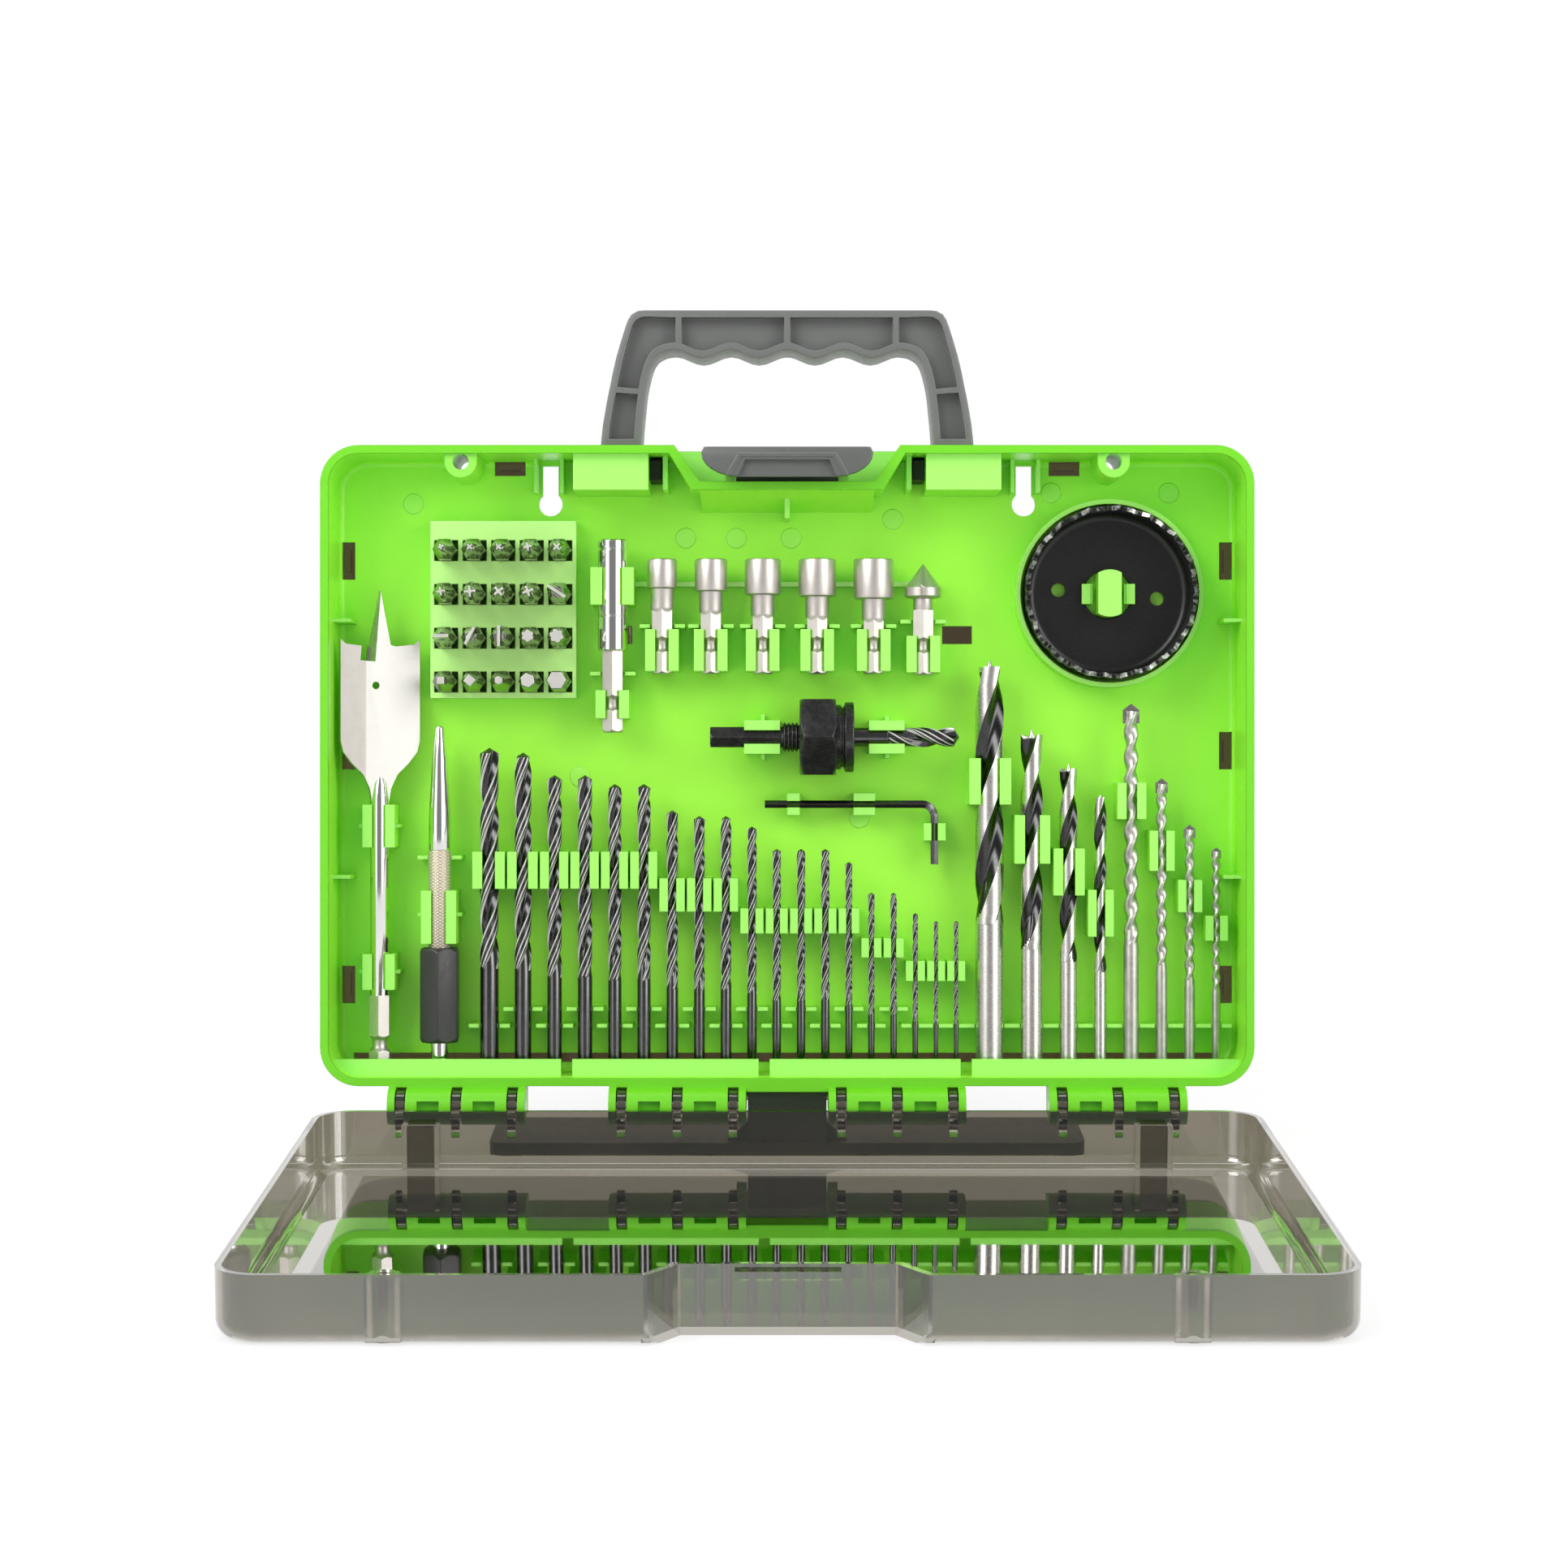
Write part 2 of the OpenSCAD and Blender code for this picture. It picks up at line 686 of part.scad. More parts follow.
// Slots and holes that go right through the floor
module window_cuts(y0, y1, grow) {
    for (s = sides) {
        for (z = side_window_zs) window_cut([s * side_window_x, z], side_window, y0, y1, grow);
        window_cut([s * top_window_x, top_window_z], top_window, y0, y1, grow);
        window_cut([s * mid_window_x, mid_window_z], mid_window, y0, y1, grow);
    }
}

module window_cut(at, size, y0, y1, grow) {
    block([at[0] - size[0] / 2 - grow, y0, at[1] - size[1] / 2 - grow],
          [at[0] + size[0] / 2 + grow, y1, at[1] + size[1] / 2 + grow]);
}

module keyhole_cuts(y0, y1, grow) {
    for (s = sides) translate([s * keyhole_x, 0, 0]) {
        translate([0, 0, keyhole_z]) rod_y(keyhole_r + grow, y0, y1);
        block([-keyhole_slot_w / 2 - grow, y0, keyhole_z],
              [keyhole_slot_w / 2 + grow, y1, keyhole_top + grow]);
        translate([s * (boss_x - keyhole_x), 0, boss_z]) rod_y(boss_hole_r + grow, y0, y1);
    }
}

module handle_socket_cuts() {
    for (s = sides)
        block([s * leg_x - leg_w / 2 - fit, handle_y - handle_t / 2 - fit, case_h - tenon_len - fit],
              [s * leg_x + leg_w / 2 + fit, handle_y + handle_t / 2 + fit, case_h + 1]);
}

module base_tray() {
    color(green) place_tray() {
        difference() {
            union() {
                tray_shell();
                foot_lip();
                recess_liner();
                handle_sockets();
                wall_bosses();
                small_ribs();
                row_holders();
                upper_holders();
                left_holders();
                across_holders();
                saw_holder();
            }
            slab(-1, recess_len) recess_outline(0, case_h + 1);
            handle_socket_cuts();
            window_cuts(floor_y - 1, tray_d + 1, 0);
            keyhole_cuts(0, tray_d + 1, 0);
            block([7 - case_w / 2, floor_y - 1, 5.2], [case_w / 2 - 7, tray_d + 1, 8.2]);
        }
        hinge_knuckles();
        stand_ears();
        latch_ears();
    }
}

// Smoke panel clipped behind the tray by a tab in each window
module back_cover() {
    color(smoke) place_tray() difference() {
        union() {
            translate([0, cover_y, cover_inset])
                pan(case_w - 2 * cover_inset, case_h - 2 * cover_inset, cover_t,
                    corner_r - cover_inset, cover_t / 2);
            for (s = sides) {
                for (z = side_window_zs)
                    block([s * side_window_x - tab_t / 2, floor_y + 0.5, z - 3.5],
                          [s * side_window_x + tab_t / 2, cover_y + 0.5, z + 3.5]);
                for (at = [[top_window_x, top_window_z], [mid_window_x, mid_window_z]])
                    block([s * at[0] - 3, floor_y + 0.5, at[1] - tab_t / 2],
                          [s * at[0] + 3, cover_y + 0.5, at[1] + tab_t / 2]);
            }
        }
        keyhole_cuts(tray_d - 1, back_y + 1, 0.3);
    }
}

// Block with a pocket for each insert bit
module bit_block() {
    left = block_x - block_w / 2;
    color(green) place_tray() difference() {
        block([left, block_y, block_top - block_h], [left + block_w, floor_y - 0.05, block_top]);
        for (row = [0:block_rows - 1]) for (col = [0:block_cols - 1]) {
            x = insert_x(col);
            z = insert_z(row);
            block([x - pocket_w / 2, block_y - 1, z - pocket_h / 2],
                  [x + pocket_w / 2, floor_y + 1, z + pocket_h / 2]);
        }
    }
}

function insert_x(col) = block_x + (col - (block_cols - 1) / 2) * insert_pitch_x;
function insert_z(row) = block_top - block_margin_top - row * insert_pitch_z;

// ------------------------------------------------------------------------------ the handle

module handle_outline() {
    chamfer = 3;
    polygon([[-handle_w / 2, 0], [-handle_top_w / 2 - 0.6, handle_h - chamfer],
             [chamfer - handle_top_w / 2, handle_h], [handle_top_w / 2 - chamfer, handle_h],
             [handle_top_w / 2 + 0.6, handle_h - chamfer], [handle_w / 2, 0]]);
}

// Hand opening with a shallow wave for each finger
module finger_opening() {
    intersection() {
        polygon([[-opening_w / 2, -1], [-opening_top_w / 2, opening_top],
                 [opening_top_w / 2, opening_top], [opening_w / 2, -1]]);
        union() {
            translate([-handle_w / 2, -1]) square([handle_w, opening_top - 4]);
            for (k = [-2:2]) translate([k * finger_pitch, opening_top - finger_r]) circle(finger_r);
        }
    }
}

module handle_ring() {
    difference() {
        handle_outline();
        finger_opening();
    }
}

module handle() {
    front = handle_y - handle_t / 2;
    color(charcoal) place_tray() {
        translate([0, 0, case_h]) {
            slab(front, front + handle_t) difference() {
                handle_ring();
                offset(delta = -flange_t) handle_ring();
            }
            slab(handle_y - web_t / 2, handle_y + web_t / 2) handle_ring();
            slab(front, front + handle_t) intersection() {
                handle_ring();
                union() {
                    for (x = [-34, 0, 34]) translate([x - 0.8, 0]) square([1.6, handle_h]);
                    for (s = sides) translate([s * leg_x - leg_w, handle_h / 2 - 2]) square([2 * leg_w, 1.6]);
                }
            }
        }
        for (s = sides)
            block([s * leg_x - leg_w / 2, front, case_h - tenon_len],
                  [s * leg_x + leg_w / 2, front + handle_t, case_h + 0.5]);
    }
}

// --------------------------------------------------------------------------------- the lid

module lid_shell() {
    inner_edge = max(lid_edge_r - lid_wall, 1);
    mirror([0, 1, 0]) difference() {
        pan(case_w, case_h, lid_d, corner_r, lid_edge_r);
        translate([0, -1, lid_wall])
            pan(case_w - 2 * lid_wall, case_h - 2 * lid_wall, lid_d - lid_wall + 1,
                corner_r - lid_wall, inner_edge);
    }
}

module lid_hooks() {
    gusset = 9;
    for (x = hinge_xs) for (k = [-1:1]) translate([x + k * hook_pitch, 0, 0]) difference() {
        union() {
            translate([0, 0, -hinge_drop]) rod_x(hook_r, -hook_t / 2, hook_t / 2);
            translate([-hook_t / 2, 0, 0]) rotate([90, 0, 90]) linear_extrude(hook_t)
                polygon([[-0.4, -hinge_drop], [-0.4, lid_wall / 2], [-gusset, lid_wall / 2],
                         [-hook_r + 0.5, -hinge_drop]]);
        }
        translate([0, 0, -hinge_drop]) rod_x(pin_r + run, -hook_t, hook_t);
    }
}

// Blind columns that close over the tray's bosses
module lid_columns() {
    for (s = sides) translate([s * boss_x, 0, boss_z]) mirror([0, 1, 0]) difference() {
        union() {
            rod_y(boss_r - 0.5, 1, lid_d - lid_wall / 2);
            block([0.5 - boss_r, 1, 0],
                  [boss_r - 0.5, lid_d - lid_wall / 2, case_h - boss_z - lid_wall / 2]);
        }
        rod_y(boss_hole_r - 0.7, 0, 10);
    }
}

// Open-topped guides that stand against the lid's hinge wall
module lid_guides() {
    guide_w = 11.4;
    guide_d = 6;
    guide_x = 112.5;
    for (s = sides) translate([s * guide_x, 0, 0]) mirror([0, 1, 0]) difference() {
        block([-guide_w / 2, 3.5, lid_wall / 2], [guide_w / 2, lid_d - lid_wall / 2, lid_wall + guide_d]);
        block([1.5 - guide_w / 2, 2, lid_wall / 2 - 1],
              [guide_w / 2 - 1.5, lid_d - lid_wall, lid_wall + guide_d - 1.5]);
    }
}

module lid() {
    catch_z = case_h - recess_depth;
    panel_margin = 16;
    color(smoke) place_lid() {
        difference() {
            union() {
                lid_shell();
                mirror([0, 1, 0]) slab(0, lid_d - lid_wall / 2)
                    recess_outline(lid_wall, case_h - lid_wall / 2);
                lid_columns();
                lid_guides();
            }
            mirror([0, 1, 0]) slab(-1, lid_d + 1) recess_outline(0, case_h + 1);
            // Shallow bare panel on the outer face
            block([panel_margin - case_w / 2, -lid_d - 1, panel_margin],
                  [case_w / 2 - panel_margin, 0.5 - lid_d, case_h - panel_margin - recess_depth]);
        }
        lid_hooks();
        // Catch behind the latch's lip
        block([-catch_w / 2, lip_t - latch_reach + 3 * seat, catch_z - sink],
              [catch_w / 2, -1.5, catch_z + catch_h]);
    }
}

module hinge_pins() {
    color(steel) place_tray() for (x = hinge_xs)
        translate([x, 0, -hinge_drop]) rod_x(pin_r, -hinge_w / 2, hinge_w / 2);
}

// -------------------------------------------------------------------------- latch and stand

module latch() {
    corner = 3.5;
    half = latch_w / 2;
    back = latch_y + 1.5;
    color(grey) place_tray() difference() {
        union() {
            block([-half, -latch_reach, latch_top - latch_plate], [half, back, latch_top]);
            // Lip with rounded lower corners
            slab(-latch_reach, lip_t - latch_reach) {
                translate([corner - half, lip_bottom]) square([latch_w - 2 * corner, latch_top - lip_bottom]);
                translate([-half, lip_bottom + corner]) square([latch_w, latch_top - lip_bottom - corner]);
                for (s = sides) translate([s * (half - corner), lip_bottom + corner]) circle(corner);
            }
            // Side cheeks
            for (s = sides)
                block([s * (half - 1.2) - 1.2, -latch_reach, lip_bottom + corner],
                      [s * (half - 1.2) + 1.2, latch_y, latch_top]);
            translate([0, latch_y, latch_z]) rod_x(latch_barrel_r, -latch_barrel_w / 2, latch_barrel_w / 2);
            block([-latch_barrel_w / 2, latch_y - latch_barrel_r + 0.8, latch_z],
                  [latch_barrel_w / 2, latch_y + 1.5, latch_top - latch_plate / 2]);
        }
        translate([0, latch_y, latch_z]) rod_x(latch_pin_r + run, -latch_w, latch_w);
        // Hollow face of the lip
        slab(-latch_reach - 1, 1.2 - latch_reach)
            polygon([[-13, latch_top - 3.2], [13, latch_top - 3.2], [14.5, lip_bottom + 1],
                     [-14.5, lip_bottom + 1]]);
    }
}

module latch_pin() {
    half = latch_barrel_w / 2 + fit + latch_ear_t;
    color(steel) place_tray() translate([0, latch_y, latch_z]) rod_x(latch_pin_r, -half, half);
}

// T-shaped stand: a barrel and neck in the middle, and a wide foot flat on the table
module stand() {
    half = foot_w / 2;
    r = foot_corner_r;
    front = -foot_front;
    back = foot_d - foot_front;
    low = -stand_z;
    gusset_x = barrel_w / 2 + 9;
    gusset_t = 3;
    gusset_h = 9;
    color(charcoal) place_stand() difference() {
        union() {
            rod_x(barrel_r, -barrel_w / 2, barrel_w / 2);
            block([-barrel_w / 2, -barrel_r, low + foot_t / 2], [barrel_w / 2, barrel_r, 0]);
            block([r - half, front, low], [half - r, back, low + foot_t]);
            block([-half, front + r, low], [half, back - r, low + foot_t]);
            for (x = sides) for (y = [front + r, back - r])
                translate([x * (half - r), y, low]) cylinder(r = r, h = foot_t);
            // Gussets from the neck to the foot
            translate([0, 0, low + foot_t / 2]) slab(-gusset_t / 2, gusset_t / 2)
                polygon([[-gusset_x, 0], [gusset_x, 0], [barrel_w / 2 - 1, gusset_h],
                         [1 - barrel_w / 2, gusset_h]]);
        }
        rod_x(stand_pin_r + run, -barrel_w, barrel_w);
    }
}

module stand_pin() {
    half = stand_gap_w / 2 + stand_ear_t;
    color(steel) place_tray() translate([0, stand_y, -stand_drop]) rod_x(stand_pin_r, -half, half);
}

// -------------------------------------------------------------------------- the upper tools

module place_upper(x, z) {
    place_tray() translate([x, tool_depth, z]) children();
}

module holder_sleeve() {
    color(steel) place_upper(holder_x, holder_z + holder_len - sleeve_len) difference() {
        cylinder(r = sleeve_r, h = sleeve_len);
        translate([0, 0, -1]) hex_bar(drive_af + 0.2, sleeve_len + 2);
    }
}

module holder_shank() {
    color(steel) place_upper(holder_x, holder_z) drive_shank(holder_len - 14);
}

module holder_magnet() {
    color(charcoal) place_upper(holder_x, holder_z + holder_len - 14) cylinder(r = 2.9, h = 3);
}

module nut_setter(n) {
    d = setter_d[n];
    top = setter_len - d;
    neck_z = top - 6;
    color(steel) place_upper(setter_x(n), upper_bottom) difference() {
        union() {
            drive_shank(neck_z + 0.5);
            translate([0, 0, neck_z - 1]) cylinder(r1 = drive_r, r2 = setter_neck_r, h = 1);
            translate([0, 0, neck_z]) cylinder(r = setter_neck_r, h = 6.5);
            translate([0, 0, top]) cylinder(d1 = d - 0.8, d2 = d, h = 0.4);
            translate([0, 0, top + 0.4]) cylinder(d = d, h = d - 0.4);
        }
        translate([0, 0, setter_len - setter_depth]) hex_bar(d - setter_wall, setter_depth + 1);
        translate([0, 0, setter_len - setter_depth - 2]) cylinder(r = 2, h = 3);
    }
}

module nut_setter_magnets() {
    color(charcoal) for (n = [0:len(setter_d) - 1])
        place_upper(setter_x(n), upper_bottom + setter_len - setter_depth - 2) cylinder(r = 2, h = 1.6);
}

module countersink() {
    head = 3;
    cone_h = 7.6;
    neck = sink_len - cone_h - head;
    color(steel) place_upper(sink_x, upper_bottom - 0.3) difference() {
        union() {
            drive_shank(neck - 4);
            translate([0, 0, neck - 4.5]) cylinder(r = 2.9, h = 5);
            translate([0, 0, neck]) cylinder(d = sink_d, h = head);
            translate([0, 0, neck + head]) cylinder(d1 = sink_d, d2 = 0.6, h = cone_h);
        }
        for (a = [20, 140, 260]) rotate([0, 0, a])
            translate([0, 0, neck + 1.2]) rotate([0, 12, 0]) block([0.5, 0, 0], [9, 3, 12]);
    }
}

// ------------------------------------------------------------------------ arbor and hex key

module place_arbor(x) {
    place_tray() translate([x, arbor_y, arbor_z]) rotate([0, 90, 0]) children();
}

module arbor_shank() {
    color(black_steel) place_arbor(arbor_x) {
        hex_bar(drive_af, nut_x - arbor_x - 4.5);
        for (z = [nut_x - arbor_x - 5:1.2:nut_x - arbor_x - 1.2])
            translate([0, 0, z]) cylinder(r1 = 4, r2 = 4.7, h = 0.6);
        translate([0, 0, nut_x - arbor_x - 5]) cylinder(r = 4, h = 5 + nut_t + collar_t);
    }
}

module arbor_nut() {
    color(black_steel) place_arbor(nut_x) difference() {
        intersection() {
            hex_bar(nut_af, nut_t);
            union() {
                cylinder(d1 = nut_af + 0.5, d2 = nut_af * 2 / sqrt(3), h = 1.6);
                translate([0, 0, 1.6]) cylinder(d = nut_af * 2 / sqrt(3) + 1, h = nut_t - 1.6);
            }
        }
        translate([0, 0, -1]) cylinder(r = 4.01, h = nut_t + 2);
    }
}

module arbor_collar() {
    groove = 1;
    color(black_steel) place_arbor(nut_x + nut_t) difference() {
        union() {
            cylinder(r = collar_r - 1, h = collar_t);
            for (z = [0.2, 2.2, 4.2]) translate([0, 0, z]) cylinder(r = collar_r, h = groove);
        }
        translate([0, 0, -1]) cylinder(r = 4.01, h = collar_t + 2);
        translate([0, 0, collar_t / 2]) rotate([90, 0, 0]) cylinder(r = 1.5, h = collar_r + 1);
    }
}

module arbor_set_screw() {
    color(steel) place_arbor(nut_x + nut_t + collar_t / 2) rotate([90, 0, 0])
        translate([0, 0, 4.1]) difference() {
            cylinder(r = 1.48, h = 5);
            translate([0, 0, 3]) hex_bar(1.5, 3);
        }
}

module pilot_drill() {
    flute_z = 12;
    tip = 2;
    color(black_steel) place_arbor(nut_x + nut_t + collar_t) {
        drill_body(pilot_d, pilot_len - tip, pilot_len - tip - flute_z, 30);
        drill_point(pilot_d, pilot_len - tip, tip);
    }
}

module hex_key() {
    long = key_x1 - key_x0 - key_bend;
    color(black_steel) place_tray() {
        translate([key_x0, key_y, key_z]) rotate([0, 90, 0]) hex_bar(key_af, long);
        translate([key_x1 - key_bend, key_y, key_z - key_bend]) rotate([90, 0, 0])
            rotate_extrude(angle = 90) translate([key_bend, 0]) rotate(90) circle(key_af / sqrt(3), $fn = 6);
        translate([key_x1, key_y, key_z - key_short]) hex_bar(key_af, key_short - key_bend);
    }
}

module hole_saw() {
    r = saw_d / 2;
    front = insert_y - saw_h;
    tooth_a = 360 / saw_teeth;
    color(black_steel) place_tray() translate([saw_x, 0, saw_z]) difference() {
        rod_y(r, front, insert_y);
        rod_y(r - saw_wall, front - 1, insert_y - saw_plate);
        rod_y(saw_hole_r, front, insert_y + 1);
        for (a = [-5, 175]) rotate([0, a, 0]) translate([15.7, 0, 0]) rod_y(2.2, 0, insert_y + 1);
        for (k = [0:saw_teeth - 1]) rotate([0, k * tooth_a, 0]) translate([r - 3, front, 0])
            tooth_notch();
    }
}

// Notch between two saw teeth
module tooth_notch() {
    w = PI * saw_d / saw_teeth;
    rotate([90, 0, 90]) linear_extrude(6)
        polygon([[-1, -w * 0.5], [-1, w * 0.65], [tooth_h, -w * 0.3]]);
}

// ---------------------------------------------------------------------- flat bit and punch

module spade_blade() {
    shoulder = 14;
    side = 43;
    taper = 60;
    half = spade_w / 2;
    top = spade_len;
    polygon([[0, top], [4.2, top - shoulder + 1], [half - 2, top - shoulder], [half, top - shoulder + 1.5],
             [half, top - side], [half - 6, top - side - 8], [spade_rod_r - 0.4, top - taper],
             [0.4 - spade_rod_r, top - taper], [6 - half, top - side - 8], [-half, top - side],
             [-half, top - shoulder + 1.5], [2 - half, top - shoulder], [-4.2, top - shoulder + 1]]);
}

module spade_bit() {
    hex_top = 24.5;
    rod_top = spade_len - 56;
    color(steel) place_tray() translate([spade_x, tool_depth, seat_z]) {
        drive_shank(hex_top);
        translate([0, 0, hex_top - 0.5]) cylinder(r = spade_rod_r, h = rod_top - hex_top);
        rotate([0, 0, spade_turn]) difference() {
            slab(-spade_t / 2, spade_t / 2) spade_blade();
            translate([0, 0, spade_len - 25.5]) rod_y(1.15, -spade_t, spade_t);
        }
    }
}

module punch_body() {
    cone_z = 73;
    neck_z = punch_grip_z + punch_grip_len;
    color(steel) place_tray() translate([punch_x, tool_depth, 0]) {
        translate([0, 0, seat_z]) cylinder(r = 2.8, h = punch_grip_z - seat_z + 0.3);
        translate([0, 0, punch_grip_z]) cylinder(r = 2.8, h = punch_grip_len + 1);
        translate([0, 0, neck_z]) cylinder(r = punch_r - 0.1, h = cone_z - neck_z);
        translate([0, 0, cone_z]) cylinder(r1 = punch_r, r2 = 0.9, h = seat_z + punch_len - cone_z);
    }
}

module punch_grip() {
    color(black_steel) place_tray() translate([punch_x, tool_depth, punch_grip_z]) difference() {
        hex_bar(punch_grip_af, punch_grip_len - 0.1);
        translate([0, 0, -1]) cylinder(r = 2.85, h = punch_grip_len + 2);
    }
}

// ------------------------------------------------------------------------------ insert bits

// One bit, standing on its foot with its tip towards z: a hex shank, a waist and a formed tip
module insert_bit(kind, share) {
    hex_len = insert_len * 0.5;
    tip_len = insert_len * 0.28;
    tip_r = drive_r * share;
    hex_bar(drive_af, hex_len);
    translate([0, 0, hex_len]) cylinder(r1 = drive_r, r2 = tip_r + 0.1, h = insert_len - hex_len - tip_len);
    translate([0, 0, insert_len - tip_len]) insert_tip(kind, tip_r, tip_len);
}

module insert_tip(kind, r, len) {
    if (kind == 0) {
        cylinder(r = 0.55 * r, h = len);
        for (a = [0, 90]) rotate([0, 0, a]) block([-r, -0.28 * r, 0], [r, 0.28 * r, len]);
    } else if (kind == 1) {
        block([-r, -0.5, 0], [r, 0.5, len]);
    } else if (kind == 2) {
        for (a = [0, 60, 120]) rotate([0, 0, a]) block([-r, -0.3 * r, 0], [r, 0.3 * r, len]);
    } else if (kind == 3) {
        cylinder(r = r * 1.2, h = len, $fn = 4);
    } else {
        cylinder(r = r, h = len, $fn = 6);
    }
}

module insert_bits(kind) {
    color(steel) place_tray()
        for (row = [0:block_rows - 1]) for (col = [0:block_cols - 1])
            if (insert_kinds[row][col] == kind)
                translate([insert_x(col), insert_y, insert_z(row)]) rotate([90, 30, 0])
                    insert_bit(kind, insert_tips[row][col]);
}

// ------------------------------------------------------------------------ drills in the row

module place_row(n) {
    place_tray() translate([row_x(n), tool_depth, foot_z(n)]) children();
}

module twist_drills(size) {
    d = twist_d[size];
    total = twist_len[size];
    tip = 0.3 * d;
    flute = total * twist_flutes - tip;
    color(black_steel) for (n = [0:brad_first - 1]) if (twist_row[n] == size) place_row(n) {
        drill_body(d, total - tip, flute, 5.2 * d);
        drill_point(d, total - tip, tip);
    }
}

module brad_drill(i) {
    d = brad_d[i];
    spur = 0.55 * d;
    body = brad_len[i] - spur;
    color(steel) place_row(brad_first + i) {
        drill_body(d, body, body - brad_len[i] * (1 - brad_flutes), 4.6 * d);
        drill_point(d, body, spur);
    }
}

module masonry_drill(i) {
    d = masonry_d[i];
    tip = 0.5 * d;
    body = masonry_len[i] - tip;
    color(steel) place_row(masonry_first + i) {
        drill_body(0.92 * d, body, body - masonry_len[i] * (1 - masonry_flutes), 3.2 * d);
        translate([0, 0, body - sink]) intersection() {
            cylinder(d1 = d, d2 = 0.5 * d, h = tip + sink);
            block([-d, -0.22 * d, -1], [d, 0.22 * d, tip + 1]);
        }
    }
}

base_tray();
back_cover();
bit_block();
handle();
lid();
hinge_pins();
latch();
latch_pin();
stand();
stand_pin();
holder_sleeve();
holder_shank();
holder_magnet();
nut_setter(0);  // nut_setter_1
nut_setter(1);  // nut_setter_2
nut_setter(2);  // nut_setter_3
nut_setter(3);  // nut_setter_4
nut_setter(4);  // nut_setter_5
nut_setter_magnets();
countersink();
arbor_shank();
arbor_nut();
arbor_collar();
arbor_set_screw();
pilot_drill();
hex_key();
hole_saw();
spade_bit();
punch_body();
punch_grip();
insert_bits(0);  // insert_bits_cross
insert_bits(1);  // insert_bits_slotted
insert_bits(2);  // insert_bits_star
insert_bits(3);  // insert_bits_square
insert_bits(4);  // insert_bits_hex
twist_drills(0);  // twist_drill_1
twist_drills(1);  // twist_drill_2
twist_drills(2);  // twist_drill_3
twist_drills(3);  // twist_drill_4
twist_drills(4);  // twist_drill_5
twist_drills(5);  // twist_drill_6
twist_drills(6);  // twist_drill_7
twist_drills(7);  // twist_drill_8
twist_drills(8);  // twist_drill_9
twist_drills(9);  // twist_drill_10
twist_drills(10);  // twist_drill_11
twist_drills(11);  // twist_drill_12
brad_drill(0);  // brad_drill_1
brad_drill(1);  // brad_drill_2
brad_drill(2);  // brad_drill_3
brad_drill(3);  // brad_drill_4
masonry_drill(0);  // masonry_drill_1
masonry_drill(1);  // masonry_drill_2
masonry_drill(2);  // masonry_drill_3
masonry_drill(3);  // masonry_drill_4
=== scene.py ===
"""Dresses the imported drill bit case: an open tray of tools with a clear lid laid in front of it.

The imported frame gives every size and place. Each class below is one sub-assembly of the case, each
finish is a frozen dataclass that makes its material, and main() builds them in order.
"""

import logging
import math
from dataclasses import dataclass, field
from enum import Enum
from typing import Callable, Iterable, Sequence

import bmesh
import bpy
from mathutils import Matrix, Vector


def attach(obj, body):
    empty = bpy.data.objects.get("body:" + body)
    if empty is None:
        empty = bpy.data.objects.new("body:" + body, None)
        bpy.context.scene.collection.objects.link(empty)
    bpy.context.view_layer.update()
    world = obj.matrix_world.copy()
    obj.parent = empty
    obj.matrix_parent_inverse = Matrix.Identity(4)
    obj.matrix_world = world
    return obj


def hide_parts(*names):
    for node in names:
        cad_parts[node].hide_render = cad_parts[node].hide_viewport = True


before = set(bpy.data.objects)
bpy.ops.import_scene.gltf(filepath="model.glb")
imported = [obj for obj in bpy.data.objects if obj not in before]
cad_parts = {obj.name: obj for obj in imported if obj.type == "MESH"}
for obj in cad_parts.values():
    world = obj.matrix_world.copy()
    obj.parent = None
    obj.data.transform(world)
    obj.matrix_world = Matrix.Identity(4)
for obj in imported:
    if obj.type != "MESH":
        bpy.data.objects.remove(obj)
LOG = logging.getLogger("drill_case")
MM = 0.001
TOUCH = 1e-4  # places on the bench that are nearer than this are the same
LEAN = math.radians(6.3)
BODY = "case_body"

UPRIGHT = Matrix.Rotation(math.pi / 2, 4, "X")  # lays what is up on the bench towards the front

Colour = tuple[float, float, float]
Point = tuple[float, float, float]


# ------------------------------------------------------------------------------- tray frame


@dataclass(frozen=True)
class TrayFrame:
    """Where the leaning tray stands: its hinge line, and the way from tray places to real ones.

    Tray places are in millimetres: x across, y back from the rim, z up from the bottom wall.
    """

    hinge_y: float = 75.495
    hinge_z: float = 18.5
    drop: float = 6.2

    def matrix(self, place: Point = (0.0, 0.0, 0.0)) -> Matrix:
        """Gives the transform of a piece that is drawn in millimetres round a tray place.

        Args:
            place: the tray place of the piece's own origin.

        Returns:
            The 4x4 matrix from the piece's millimetres to metres in the shared frame.
        """
        return (
            Matrix.Scale(MM, 4)
            @ Matrix.Translation((0.0, self.hinge_y, self.hinge_z))
            @ Matrix.Rotation(-LEAN, 4, "X")
            @ Matrix.Translation((place[0], place[1], place[2] + self.drop))
        )


TRAY = TrayFrame()


# ------------------------------------------------------------------------------ shader tools


